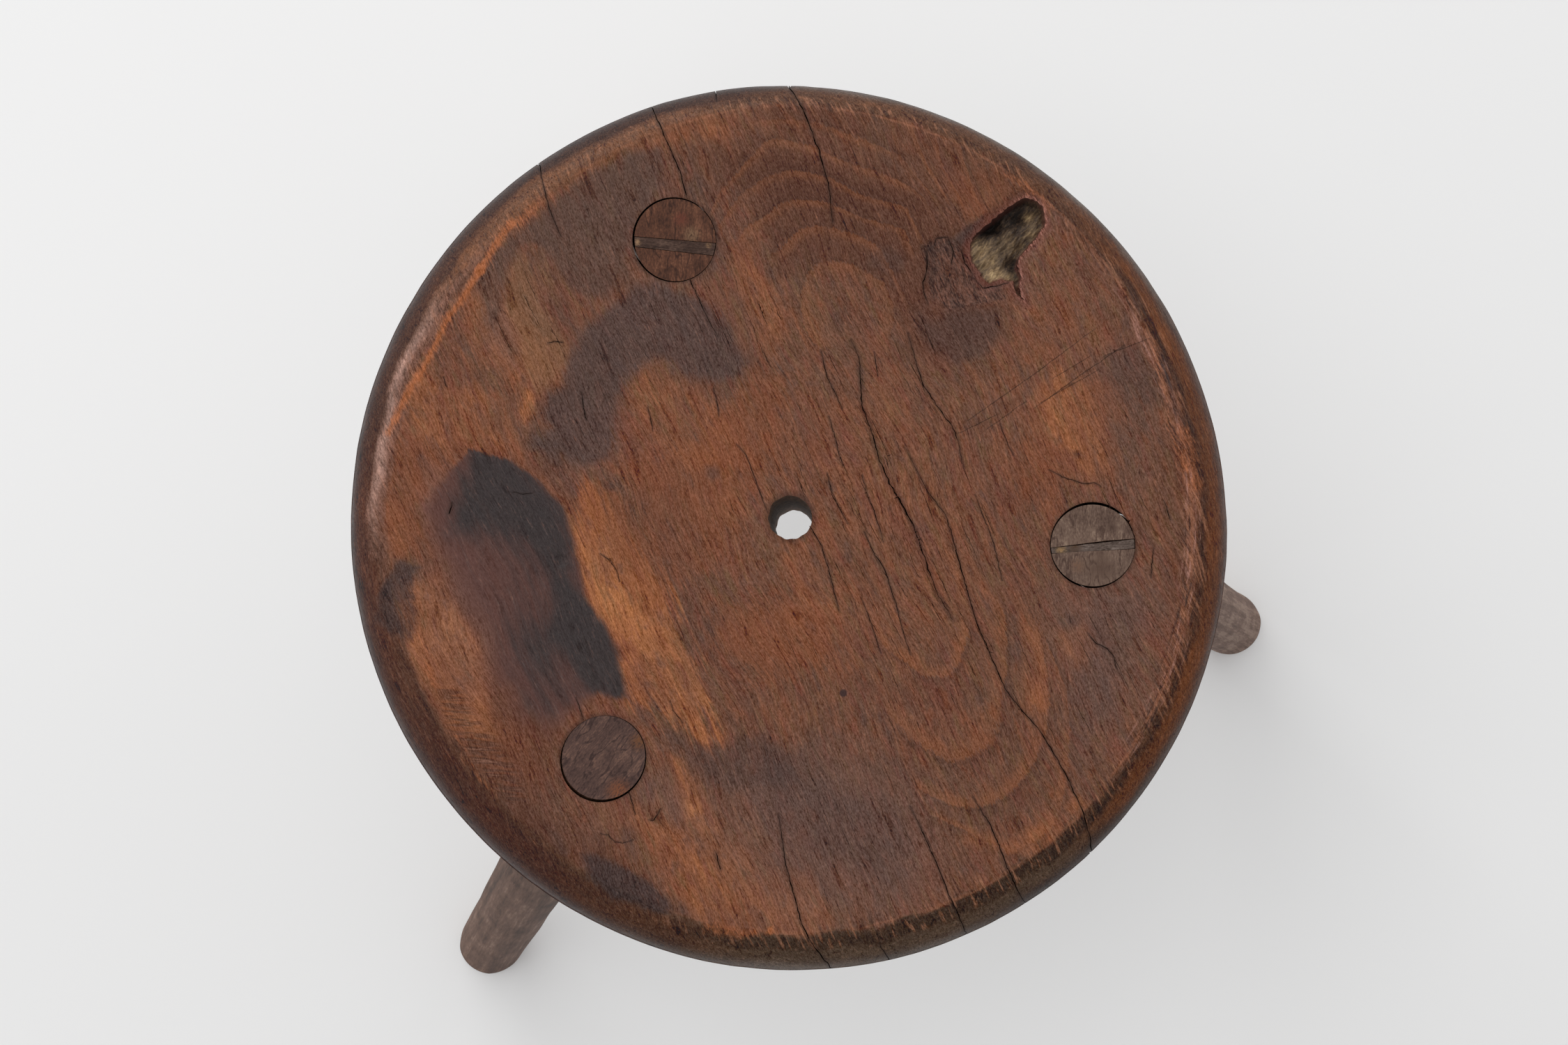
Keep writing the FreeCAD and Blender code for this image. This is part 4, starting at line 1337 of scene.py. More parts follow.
# A band is a colour, a strength, headings from and to, and depths from and to in mm inside the outline.
# Painted light in the bands: dark_back is painted shade, and dark_left, dark_lower_left, dark_front_right
# and dark_front are partly painted shade. The light bands on the left are painted highlights, the grey bands
# at the outermost back and front are painted reflections, and the light torn strip on the right is partly a
# painted highlight.
EDGE_BANDS = {
    "reflection_back": (wood(112, 96, 86), 0.5, (28, 112), (-2, 1.8)),
    "dark_back": (wood(54, 37, 30), 0.85, (90, 140), (-2, 6.5)),
    "rust_right": (wood(102, 59, 33), 0.75, (-45, 48), (2.6, 7.6)),
    "brown_back": (wood(94, 63, 46), 0.7, (44, 96), (2.6, 8)),
    "dark_valley": (wood(58, 40, 31), 0.7, (-52, 62), (8.2, 10.4)),
    "torn_and_highlight_right": (wood(136, 93, 77), 0.5, (-12, 34), (11.2, 16.4)),
    "orange_back": (wood(118, 75, 50), 0.55, (100, 148), (5.5, 14)),
    "dark_left": (wood(68, 43, 33), 0.9, (136, 206), (-2, 7.4)),
    "red_left": (wood(94, 55, 41), 0.35, (172, 200), (2, 9.5)),
    "highlight_left": (wood(160, 125, 112), 0.95, (150, 179), (8, 12)),
    "highlight_left_inner": (wood(124, 86, 72), 0.65, (138, 184), (11, 15.4)),
    "dark_lower_left": (wood(72, 43, 29), 0.85, (206, 244), (-2, 13)),
    "brown_front": (wood(78, 51, 38), 0.75, (240, 262), (2.5, 13)),
    "reflection_front": (wood(122, 106, 94), 0.65, (262, 294), (-2, 2.6)),
    "dark_front_right": (wood(62, 44, 35), 0.7, (298, 320), (-2, 5)),
    "olive_front": (wood(86, 69, 56), 0.8, (262, 314), (2.6, 7.6)),
    "dark_front": (wood(60, 46, 37), 0.8, (258, 318), (7.4, 13.4)),
    "rust_front_right": (wood(108, 64, 38), 0.65, (316, 350), (3, 8.4)),
}
TORN_STRIP = ((-34, 34), (10.0, 16.6))
EDGE_TURN_SOFTNESS = 8.0
EDGE_DEPTH_SOFTNESS = 1.1
EDGE_COVER = 0.85
EDGE_COVER_REACH = 0.92
EDGE_COVER_SOFTNESS = 1.6


def edge_band(heading, depth, headings, depths):
    """Soft mask of a band along the edge."""
    aside = np.abs((heading - sum(headings) / 2 + 180) % 360 - 180)
    band = soft_step(((headings[1] - headings[0]) / 2 - aside) / EDGE_TURN_SOFTNESS)
    band *= soft_step((depths[1] - depth) / EDGE_DEPTH_SOFTNESS)
    return band * soft_step((depth - depths[0]) / EDGE_DEPTH_SOFTNESS)


def edge_paint(heading, depth, reach):
    """Colour of the worn edge at each point, partly painted light and shade, and how far it covers the
    wood's own colour.
    """
    parts = [np.interp(heading, EDGE_SHADE_HEADINGS, channel, period=360) for channel in zip(*EDGE_SHADES)]
    shade = np.stack(parts, axis=1)
    cover = EDGE_COVER * soft_step((EDGE_COVER_REACH * reach - depth) / EDGE_COVER_SOFTNESS)
    for colour, strength, headings, depths in EDGE_BANDS.values():
        band = strength * edge_band(heading, depth, headings, depths)
        shade += (np.array(colour) - shade) * band[:, None]
        cover = np.maximum(cover, band)
    return shade, cover


# %% Light fibres, painted shade and painted glints in the knot
# A patch is a middle, a radius in mm and a strength. Patches of negative strength are painted shade in
# the pocket's deep parts, and the glints are painted highlights.
KNOT_FIBRES_AND_PAINTED_LIGHT = {
    "front_fibres": ((69, 98), 4.5, 0.36),
    "hollow": ((73, 93.5), 3.5, 0.3),
    "front_lip": ((74.5, 87.8), 3.4, 0.6),
    "dome": ((79, 101), 4, 0.1),
    "back_shadow": ((73.5, 107), 4.5, -0.5),
    "glints": ((87, 111), 2, 0.9),
    "right_glints": ((88.5, 104.5), 1.6, 0.5),
    "lip_right": ((79, 87), 2, 0.5),
    "groove": ((70.5, 106.8), 4, -0.5),
    "far_groove": ((81, 110.5), 5, -0.5),
    "far_end": ((85, 114), 4, -0.3),
    "right_shadow": ((81.5, 92.5), 3.2, -0.45),
}
# The painted highlight on the knot's lip comes in from this x, in mm, over this rise.
KNOT_LIP_FROM = 79.0
KNOT_LIP_RISE = 5


def knot_fibres_and_painted_light(plan):
    """How light the knot's fibres are at each point, with painted shade in its deep parts and painted
    glints.
    """
    total = np.zeros(len(plan))
    for middle, radius, strength in KNOT_FIBRES_AND_PAINTED_LIGHT.values():
        total += strength * np.exp(-np.sum((plan - middle) ** 2, axis=1) / radius ** 2)
    return total


# %% Store the marks
MARK_KINDS = {1: ("FLOAT", "value"), 3: ("FLOAT_VECTOR", "vector"), 4: ("FLOAT_COLOR", "color")}
UNDER_DEPTH = 20.0
FAR = 200.0
# The burn's edge is soft on its left and crisp on its right, and crisper still at the back. Each row has
# places across or along the burn, in mm, and the softness there.
BURN_MIDDLE = (-95.0, -22.0)
BURN_RIGHT = (0.886, 0.462)
BURN_SOFT_ACROSS = ([-25, 5], [8.0, 1.5])
BURN_SOFT_ALONG = ([0, 40], [0.35, 1])
# Outlines wander: a layer of noise has its size and its push in mm, and a slice of the noise.
WANDERS = {"coarse": (15, 2.0, 1.0), "fine": (5, 0.7, 7.0)}
# How quickly the dirt thins out beside a split, a tenon and the hole.
SPLIT_DIRT = 0.5
TENON_DIRT = 0.8
HOLE_DIRT = 0.5


def keep_mark(piece, name, values):
    """Store a number, a place or a colour per point on a piece."""
    rows = np.asarray(values, np.float32).reshape(len(piece.data.vertices), -1)
    kind, field = MARK_KINDS[rows.shape[1]]
    layer = piece.data.attributes.new(name, kind, "POINT")
    layer.data.foreach_set(field, rows.ravel())


places = point_table(seat)
exact = places[:, :2]
plan = exact.copy()
for place in plan:
    x, y = place
    for size, push, noise_slice in WANDERS.values():
        away = noise.noise_vector(Vector((x / size, y / size, noise_slice)))
        place += (away.x * push, away.y * push)
upper = np.clip((places[:, 2] - UNDERSIDE) / UNDER_DEPTH, 0, 1)
below = FAR * (1 - upper)
rings, ring_clear = ring_count(exact, TOP - places[:, 2])
reach, crease = edge_reach(exact[:, 0], exact[:, 1])
edge_depth = edge_distance(exact[:, 0], exact[:, 1])
edge_heading = np.degrees(np.arctan2(plan[:, 1] - SEAT_MIDDLE[1], plan[:, 0] - SEAT_MIDDLE[0]))
edge_shade, edge_cover = edge_paint(edge_heading, edge_distance(plan[:, 0], plan[:, 1]), reach)
outward = (exact - SEAT_MIDDLE) / np.linalg.norm(exact - SEAT_MIDDLE, axis=1)[:, None]
seam = np.full(len(plan), FAR)
for width, open_at, points in SPLITS.values():
    for start, end in zip(points, points[1:]):
        seam = np.minimum(seam, run_distance(exact, start, end) * SPLIT_DIRT / width)
for leg in LEGS:
    from_tenon = np.linalg.norm(exact - np.array(tenon_middle(leg)[:2]), axis=1)
    seam = np.minimum(seam, np.abs(from_tenon - MORTISE_RADIUS) * TENON_DIRT)
from_hole = np.abs(np.linalg.norm(exact, axis=1) - HOLE_RADIUS)
seam = np.minimum(seam, from_hole * HOLE_DIRT)
burn_aside = (plan - BURN_MIDDLE) @ BURN_RIGHT
burn_along = (plan - BURN[0]) @ (BURN_RIGHT[1], -BURN_RIGHT[0])
SEAT_MARKS = {
    "burn": depth_inside(plan, BURN) - below,
    "burn_soft": np.interp(burn_aside, *BURN_SOFT_ACROSS) * np.interp(burn_along, *BURN_SOFT_ALONG),
    "char": patch_sum(plan, CHAR_PATCHES),
    "cloud": depth_inside(plan, CLOUD) - below,
    "dark_back": depth_inside(plan, DARK_BACK) - below,
    "glow": depth_inside(plan, GLOW) - below,
    "dry": depth_inside(plan, DRY_STREAK) - below,
    "chatter": depth_inside(plan, CHATTER) - below,
    "flake": depth_inside(plan, TORN_FLAKE) - below,
    "knot": depth_inside(exact, KNOT_OUTLINE) - below,
    "knot_right": np.clip((exact[:, 0] - KNOT_LIP_FROM) / KNOT_LIP_RISE, 0, 1),
    "worn": patch_sum(plan, WORN_PATCHES) * upper,
    "rim_stain": patch_sum(plan, RIM_STAINS),
    "rim_pale_and_highlight": patch_sum(plan, RIM_PALE_AND_HIGHLIGHTS) + line_sum(exact, RIM_LINES),
    "torn": edge_band(edge_heading, edge_depth, *TORN_STRIP),
    "dull": patch_sum(plan, DULL_PATCHES) * upper,
    "grey": patch_sum(plan, GREY_PATCHES) * upper,
    "rings": rings,
    "ring_clear": ring_clear * upper,
    "edge": edge_depth / reach,
    "crease": crease / max(EDGE_CREASES),
    "edge_shade": edge_shade,
    "edge_cover": edge_cover,
    "knot_fibres_and_painted_light": knot_fibres_and_painted_light(exact),
    "red": patch_sum(plan, RED_PATCHES) * upper,
    "warm": patch_sum(plan, WARM_PATCHES) * upper,
    "edge_space": np.column_stack([outward * SEAT_LENGTH / 2, edge_depth]),
    "seam": seam,
    "upper": upper,
}
for name, values in SEAT_MARKS.items():
    keep_mark(seat, name, values)
print(len(SEAT_MARKS), "marks stored on", len(places), "points")

# %% [markdown]
# ## Seat finish
# The wood's own figure is noise drawn out along the grain at several sizes: streaks, fibres and fine
# specks. They are added up into one tone, which is read as a colour from a row of wood shades. Stains are
# laid over that in the order in which they happened: rings, worn patches, damp clouds, burn, and last the
# dirt.


# %% Grain
def wood_space(heading):
    """Place in mm on the seat, with X along a heading."""
    return add_node("ShaderNodeMapping", {
        "Vector": add_node("ShaderNodeTexCoord").outputs["Object"],
        "Rotation": (0, 0, -math.radians(heading)),
        "Scale": (1 / MM, 1 / MM, 1 / MM),
    }).outputs[0]


def drifted(space, scale, sway):
    """Place pushed from side to side by slow noise, so that grain lines wander."""
    push = add_node("ShaderNodeTexNoise", {"Vector": space, "Scale": scale, "Detail": 2.0}).outputs["Color"]
    push = add_node("ShaderNodeVectorMath", {0: push, 1: (0.5, 0.5, 0.5)}, operation="SUBTRACT").outputs[0]
    inputs = {0: push, 1: (0, sway, 0), 2: space}
    return add_node("ShaderNodeVectorMath", inputs, operation="MULTIPLY_ADD").outputs[0]


def distance_from(middle):
    """Distance in metres from a place on the seat's top."""
    return add_node("ShaderNodeVectorMath", {
        0: add_node("ShaderNodeTexCoord").outputs["Object"],
        1: (middle[0] * MM, middle[1] * MM, TOP * MM),
    }, operation="DISTANCE").outputs["Value"]


draw_in(seat_tree)
seat_space = wood_space(GRAIN_HEADING)
seat_grain = drifted(seat_space, 0.015, 14)
streak = grain_noise(seat_grain, (0.022, 0.34, 0.34), detail=4.0)
fibre = grain_noise(seat_grain, (0.10, 1.10, 1.10), detail=4.0, rough=0.66)
speck = grain_noise(seat_grain, (0.35, 1.5, 1.5), detail=3.0, rough=0.75)
fleck = grain_noise(seat_grain, (1.0, 2.6, 2.6), detail=2.0, rough=0.7)
thread = grain_noise(seat_grain, (0.008, 0.26, 0.26), detail=1.0)
warmth = grain_noise(seat_grain, (0.09, 0.45, 0.45), detail=4.0, rough=0.6)
blotch = grain_noise(seat_grain, (0.055, 0.10, 0.10), detail=6.0, rough=0.62)
tint = grain_noise(seat_grain, (0.11, 0.26, 0.26), detail=5.0, rough=0.6)
hue = grain_noise(seat_grain, (0.03, 0.06, 0.3), detail=4.0)
pores = span(grain_noise(seat_grain, (0.13, 2.0, 2.0), detail=2.0), 0.60, 0.70)

# %% Ring lines
ring_place = weighted_sum(mark("rings"), [(0.4, fibre, 0.5), (0.2, speck, 0.5)])
ring_share = calculate("FRACT", ring_place)
ring_line = shades(ring_share, [
    (0.0, grey(0.10)),
    (0.12, grey(0.34)),
    (0.4, grey(0.48)),
    (0.65, grey(0.62)),
    (0.85, grey(0.90)),
    (0.95, grey(1.0)),
    (1.0, grey(0.10)),
])
ring_clear = times(mark("ring_clear"), span(blotch, 0.3, 0.6, 0.4, 1.1))
ring_light = times(span(ring_line, 0.5, 1.0, 0.0, 0.48), ring_clear)
ring_dark = times(span(ring_line, 0.5, 0.1, 0.0, 0.45), ring_clear)

# %% Tone and shades
dull = mark("dull")
glow = span(weighted_sum(mark("glow"), [(12.0, fibre, 0.5), (16.0, streak, 0.5)]), -2.4, 3.4)
tone = weighted_sum(0.5, [
    (0.55, mark("worn"), 0.0),
    (-0.16, dull, 0.0),
    (0.33, glow, 0.0),
    (0.42, blotch, 0.5),
    (0.36, streak, 0.5),
    (0.30, fibre, 0.5),
])
colour = shades(tone, [
    (0.10, wood(58, 42, 37)),
    (0.30, wood(83, 59, 50)),
    (0.50, wood(108, 73, 57)),
    (0.65, wood(124, 79, 57)),
    (0.82, wood(148, 92, 60)),
    (1.0, wood(176, 113, 71)),
])
# A tint comes in where its noise goes from one value to another, up to a strength.
TINTS = [
    (hue, 0.5, 0.72, 0.5, wood(116, 69, 54)),
    (hue, 0.5, 0.3, 0.35, wood(98, 75, 62)),
    (tint, 0.52, 0.72, 0.5, wood(132, 76, 51)),
    (tint, 0.48, 0.28, 0.5, wood(86, 65, 59)),
    (warmth, 0.52, 0.72, 0.5, wood(112, 84, 57)),
    (warmth, 0.48, 0.28, 0.5, wood(114, 63, 52)),
]
for figure, begins, ends, strength, shade in TINTS:
    colour = blend(span(figure, begins, ends, 0.0, strength), colour, shade)
warm = weighted_sum(mark("warm"), [(1.6, fibre, 0.5), (1.0, tint, 0.5)])
colour = blend(span(warm, 0.1, 1.0, 0.0, 0.5), colour, wood(128, 74, 48))
colour = blend(times(mark("red"), 0.6), colour, wood(88, 56, 43))
colour = blend(times(mark("grey"), 0.5), colour, wood(102, 79, 72))
colour = blend(times(dull, 0.62), colour, wood(80, 64, 60))

# %% Stains
dry = span(weighted_sum(mark("dry"), [(10.0, fibre, 0.5)]), -2.5, 2.5)
colour = blend(times(dry, 0.5), colour, wood(124, 91, 66))
dark_back = span(weighted_sum(mark("dark_back"), [(8.0, fibre, 0.5)]), -2.0, 2.5)
colour = blend(times(dark_back, 0.68), colour, wood(84, 65, 58))
cloud = span(weighted_sum(mark("cloud"), [(9.0, fibre, 0.5), (9.0, blotch, 0.5)]), -2.6, 3.2)
colour = blend(times(cloud, 0.76), colour, wood(77, 62, 59))
scorch = span(mark("burn"), -13.0, -1.0)
colour = blend(times(scorch, 0.16), colour, wood(138, 75, 47))
burn_edge = weighted_sum(mark("burn"), [(4.0, fibre, 0.5)])
burn = span(calculate("DIVIDE", burn_edge, mark("burn_soft")), -1.0, 1.0)
char = weighted_sum(mark("char"), [(0.9, streak, 0.5), (0.5, tint, 0.5), (0.4, fibre, 0.5)])
burnt = blend(span(char, -0.1, 1.0), wood(94, 64, 58), wood(55, 51, 52))
burnt = blend(span(fibre, 0.58, 0.72, 0.0, 0.3), burnt, wood(104, 94, 92))
colour = blend(times(burn, 0.95), colour, burnt)

# %% Rings over the stains
colour = blend(ring_dark, colour, wood(68, 45, 37))
colour = blend(ring_light, colour, wood(142, 88, 58))

# %% Knot surroundings
flake = span(weighted_sum(mark("flake"), [(7.0, blotch, 0.5)]), -1.0, 2.0)
torn = shades(weighted_sum(0.5, [(1.6, speck, 0.5), (1.4, tint, 0.5)]), [
    (0.3, wood(54, 42, 39)),
    (0.5, wood(80, 58, 51)),
    (0.75, wood(108, 74, 62)),
])
colour = blend(times(flake, 0.7), colour, torn)
knot = mark("knot")
lip = span(weighted_sum(knot, [(6.0, tint, 0.5)]), -4.0, -0.6)
colour = blend(times(lip, 0.6), colour, wood(104, 62, 53))
# Painted highlight: a thin light line along the right side of the pocket's lip.
lip_highlight = times(span(knot, -1.3, -0.2), span(speck, 0.46, 0.6))
lip_highlight = times(lip_highlight, mark("knot_right"))
colour = blend(times(lip_highlight, 0.6), colour, wood(170, 116, 102))

# %% Worn edge
edge = mark("edge")
edge_space = mark("edge_space", "Vector")
edge_fleck = grain_noise(edge_space, (0.16, 0.16, 0.8), detail=4.0, rough=0.65)
edge_patch = grain_noise(edge_space, (0.05, 0.05, 0.25), detail=3.0)
edge_cover = weighted_sum(mark("edge_cover"), [(1.0, edge_fleck, 0.5), (0.8, fibre, 0.5)])
# The edge's colour brings in its painted shade, highlights and reflections along with the wood's own colour.
edge_colour = mark("edge_shade", "Color")
edge_tone = weighted_sum(0.5, [(1.0, edge_fleck, 0.5), (0.8, edge_patch, 0.5), (0.8, fibre, 0.5)])
edge_grey = shades(edge_tone, [(0.2, grey(0.25)), (0.8, grey(0.75))])
edge_colour = blend(0.7, edge_colour, edge_grey, "OVERLAY")
colour = blend(span(edge_cover, 0.1, 0.9), colour, edge_colour)
colour = blend(span(edge, 0.34, 0.0, 0.0, 0.4), colour, wood(42, 30, 25))

# %% Crease, with painted highlights
crease = mark("crease")
fissure = grain_noise(seat_grain, (0.06, 0.75, 0.2), detail=3.0)
on_strip = times(span(edge, 0.5, 0.66), span(edge, 1.5, 1.0))
on_strip = times(on_strip, crease)
dark_fleck = times(on_strip, span(fissure, 0.45, 0.36))
# The light flecks on the broken strip are partly pale torn fibres and partly painted highlights.
pale_fleck_and_highlight = times(on_strip, span(fissure, 0.55, 0.65))
colour = blend(times(dark_fleck, 0.55), colour, wood(48, 36, 32))
colour = blend(times(pale_fleck_and_highlight, 0.45), colour, wood(172, 118, 90))
# The light line along the crease is partly worn wood and partly a painted highlight.
crease_line_and_highlight = times(span(edge, 0.93, 1.0), span(edge, 1.10, 1.02))
crease_line_and_highlight = times(crease_line_and_highlight, span(edge_patch, 0.42, 0.58))
crease_line_and_highlight = times(crease_line_and_highlight, crease)
colour = blend(times(crease_line_and_highlight, 0.4), colour, wood(158, 104, 78))

# %% Torn strip
torn_line = grain_noise(edge_space, (0.06, 0.06, 0.7), detail=4.0, rough=0.65)
torn = mark("torn")
torn_dark = times(torn, span(torn_line, 0.46, 0.38))
# The light streaks on the torn strip are partly pale torn fibres and partly painted highlights.
torn_pale_and_highlight = times(torn, span(torn_line, 0.55, 0.64))
colour = blend(times(torn_dark, 0.75), colour, wood(50, 36, 33))
colour = blend(times(torn_pale_and_highlight, 0.6), colour, wood(172, 126, 112))

# %% Stains, and pale lines with painted highlights, over the edge
rim_stain = weighted_sum(mark("rim_stain"), [(1.2, fibre, 0.5), (0.8, tint, 0.5)])
colour = blend(span(rim_stain, 0.1, 1.0, 0.0, 0.8), colour, wood(60, 50, 50))
rim_pale_and_highlight = weighted_sum(mark("rim_pale_and_highlight"), [(1.2, fibre, 0.5), (1.0, speck, 0.5)])
colour = blend(span(rim_pale_and_highlight, 0.1, 1.0, 0.0, 0.85), colour, wood(164, 96, 58))

# %% Plane chatter
CHATTER_HEADING = -4.0
chatter_zone = span(mark("chatter"), -2.0, 2.0)
chatter_line = grain_noise(wood_space(CHATTER_HEADING), (0.06, 0.62, 0.1), detail=2.0)
chatter = times(chatter_zone, span(chatter_line, 0.46, 0.54))
ridge = times(chatter_zone, span(chatter_line, 0.60, 0.68))
colour = blend(times(chatter, 0.5), colour, wood(72, 50, 42))
colour = blend(times(ridge, 0.5), colour, wood(146, 104, 86))

# %% Fibres, painted sheen, dirt and the pin knot
# The fine texture works on the colour plus a small grey share, so it also paints a neutral sheen of tiny
# highlights and shade over the grain.
SHEEN_SHARE = grey(0.06)
from_thread = calculate("ABSOLUTE", calculate("SUBTRACT", thread, 0.5))
thread_line = times(span(from_thread, 0.03, 0.008), span(tint, 0.5, 0.6))
texture = weighted_sum(1.02, [
    (0.85, fibre, 0.5),
    (1.0, speck, 0.5),
    (1.45, fleck, 0.5),
    (-0.2, pores, 0.0),
    (-0.3, thread_line, 0.0),
])
smooth = span(burn, 0.0, 1.0, 0.0, 0.55)
texture = blend(smooth, texture, grey(1.0))
colour = blend(1.0, colour, SHEEN_SHARE, "ADD")
colour = blend(1.0, colour, texture, "MULTIPLY")
colour = blend(1.0, colour, SHEEN_SHARE, "SUBTRACT")
dirt = span(mark("seam"), 1.5, 0.0)
colour = blend(times(dirt, 0.5), colour, wood(50, 37, 32))
PIN_KNOT = (19.2, -63.6)
PIN_KNOT_RADII = (1.7, 1.0)
pin_knot = span(distance_from(PIN_KNOT), PIN_KNOT_RADII[0] * MM, PIN_KNOT_RADII[1] * MM, 0.0, 0.85)
colour = blend(pin_knot, colour, wood(56, 42, 43))

# %% Bare underside
raw_under = shades(weighted_sum(0.5, [(1.2, streak, 0.5), (0.8, fibre, 0.5)]), [
    (0.25, wood(70, 54, 46)),
    (0.55, wood(98, 78, 66)),
    (0.85, wood(124, 101, 84)),
])
colour = blend(span(mark("upper"), 0.45, 0.1), colour, raw_under)
feed(seat_shader, Base_Color=colour)

# %% Polish and relief
gloss = weighted_sum(0.42, [(0.4, fibre, 0.5), (0.3, blotch, 0.5), (0.2, pores, 0.0), (0.2, dull, 0.0)])
relief = weighted_sum(0.5, [(0.5, fibre, 0.5), (0.4, speck, 0.5), (-0.5, pores, 0.0), (-0.4, chatter, 0.0)])
bump = relief_of(relief, 0.45, 0.4)
feed(seat_shader, Roughness=gloss, Specular_IOR_Level=0.3, Normal=bump)
print("seat finish of", len(seat_tree.nodes), "nodes")

# %% [markdown]
# ## Insides
# Inside a split the wood is dark, partly with dirt and partly as painted shade in the narrow gap, and
# inside a bored hole it is dark with dirt. The knot's pocket is grey and gold in front, broken into short
# fibres, and nearly black at its deep end, partly as painted shade.

# %% Open grain
draw_in(open_tree)
# The near-black of the splits and of the gaps round the tenons is partly dirt and partly painted shade.
open_fibre = grain_noise(wood_space(GRAIN_HEADING), (0.3, 1.2, 0.3))
open_colour = shades(open_fibre, [(0.3, paint(26, 18, 14)), (0.7, paint(70, 50, 38))])
feed(open_shader, Base_Color=open_colour, Roughness=0.85, Specular_IOR_Level=0.2)

# %% Bored wood
draw_in(bored_tree)
bored_fibre = grain_noise(wood_space(GRAIN_HEADING), (0.5, 0.5, 1.4), detail=4.0)
bored_colour = shades(bored_fibre, [(0.3, paint(60, 44, 34)), (0.7, paint(132, 100, 76))])
feed(bored_shader, Base_Color=bored_colour, Roughness=0.7, Specular_IOR_Level=0.2)

# %% Knot fibre
draw_in(knot_tree)
knot_space = wood_space(KNOT_HEADING)
knot_strand = grain_noise(knot_space, (0.22, 0.9, 0.4), detail=4.0, rough=0.6)
knot_fleck = grain_noise(knot_space, (0.7, 1.6, 0.7), detail=3.0, rough=0.65)
# The knot's tone carries its painted shade and painted glints along with its light fibres.
knot_tone = weighted_sum(0.37, [
    (0.56, mark("knot_fibres_and_painted_light"), 0.0),
    (0.7, knot_strand, 0.5),
    (0.8, knot_fleck, 0.5),
])
knot_colour = shades(knot_tone, [
    (0.04, paint(26, 18, 13)),
    (0.25, paint(66, 50, 38)),
    (0.45, paint(102, 82, 60)),
    (0.68, paint(144, 118, 86)),
    (0.90, paint(196, 168, 124)),
])
knot_wall = span(mark("knot"), 1.5, 0.2, 0.0, 0.7)
knot_colour = blend(knot_wall, knot_colour, paint(92, 46, 36))
knot_bump = relief_of(knot_fleck, 0.6, 0.8)
feed(knot_shader, Base_Color=knot_colour, Roughness=0.7, Normal=knot_bump)

# %% Seat into the frame
shade_smooth(seat)
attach(seat, "root")
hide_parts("seat")
print("seat finished with", [material.name for material in seat.data.materials])

# %% [markdown]
# ## Legs
# A leg is a stick shaved round by hand: a tenon at the top, a shoulder that stops it under the seat and a
# slow taper to the foot. A circle is extruded ring by ring up the stick, each ring a little off round and
# off centre, and the ends are sawn level with the seat and the floor by bisecting the leaned stick.

# %% Leg sizes
TENON_RADIUS = 14.82
SHOULDER_RADIUS = 16.5
SHOULDER_LENGTH = 12.0
SHOULDER_GAP = 0.3
FOOT_RADIUS = 15.0
SAWING_ALLOWANCE = 12.0
LEG_RING_STEP = 9.0
LEG_SIDES = 64
TENON_RINGS = 8
FOOT_BEVEL = 1.2
LEVEL_MARGIN = 0.3
LEVEL_NORMAL = 0.9
LEG_UNEVEN = 0.35
UNEVEN_START = 20
WANDER_LENGTH = 60
FLAT_FINENESS = 0.12
FLAT_LENGTH = 50
FLAT_DEPTH = 0.022
SEAT_THICKNESS = TOP - UNDERSIDE


def leg_outline(leg):
    """(height, radius) pairs up a leg in its own space, from the foot to the top of the tenon."""
    lean = math.radians(LEGS[leg]["splay"])
    shoulder_start = -((SEAT_THICKNESS + MORTISE_RADIUS * math.sin(lean)) / math.cos(lean) + SHOULDER_GAP)
    shoulder_end = shoulder_start - SHOULDER_LENGTH
    foot = -(TOP / math.cos(lean) + SAWING_ALLOWANCE)
    heights = list(np.arange(foot, shoulder_end, LEG_RING_STEP)) + [shoulder_end]
    taper = ([foot, shoulder_end], [FOOT_RADIUS, SHOULDER_RADIUS])
    shaft = [(height, np.interp(height, *taper)) for height in heights]
    tenon = [(height, TENON_RADIUS) for height in np.linspace(shoulder_start, SAWING_ALLOWANCE, TENON_RINGS)]
    return shaft + tenon


def saw(piece, height, keep_above):
    """Saw a piece level at a height in mm and close the cut."""
    edit_all(piece)
    bpy.ops.mesh.bisect(plane_co=(0, 0, height * MM), plane_no=(0, 0, 1), use_fill=True,
                        clear_inner=keep_above, clear_outer=not keep_above)
    end_edit()


def select_level_faces(piece, height):
    """Go into edit mode with only the level faces at a height selected."""
    only(piece)
    bpy.ops.object.mode_set(mode="EDIT")
    bpy.ops.mesh.select_mode(type="FACE")
    bpy.ops.mesh.select_all(action="DESELECT")
    end_edit()
    for face in piece.data.polygons:
        face.select = abs(face.center.z / MM - height) < LEVEL_MARGIN and abs(face.normal.z) > LEVEL_NORMAL
    bpy.ops.object.mode_set(mode="EDIT")


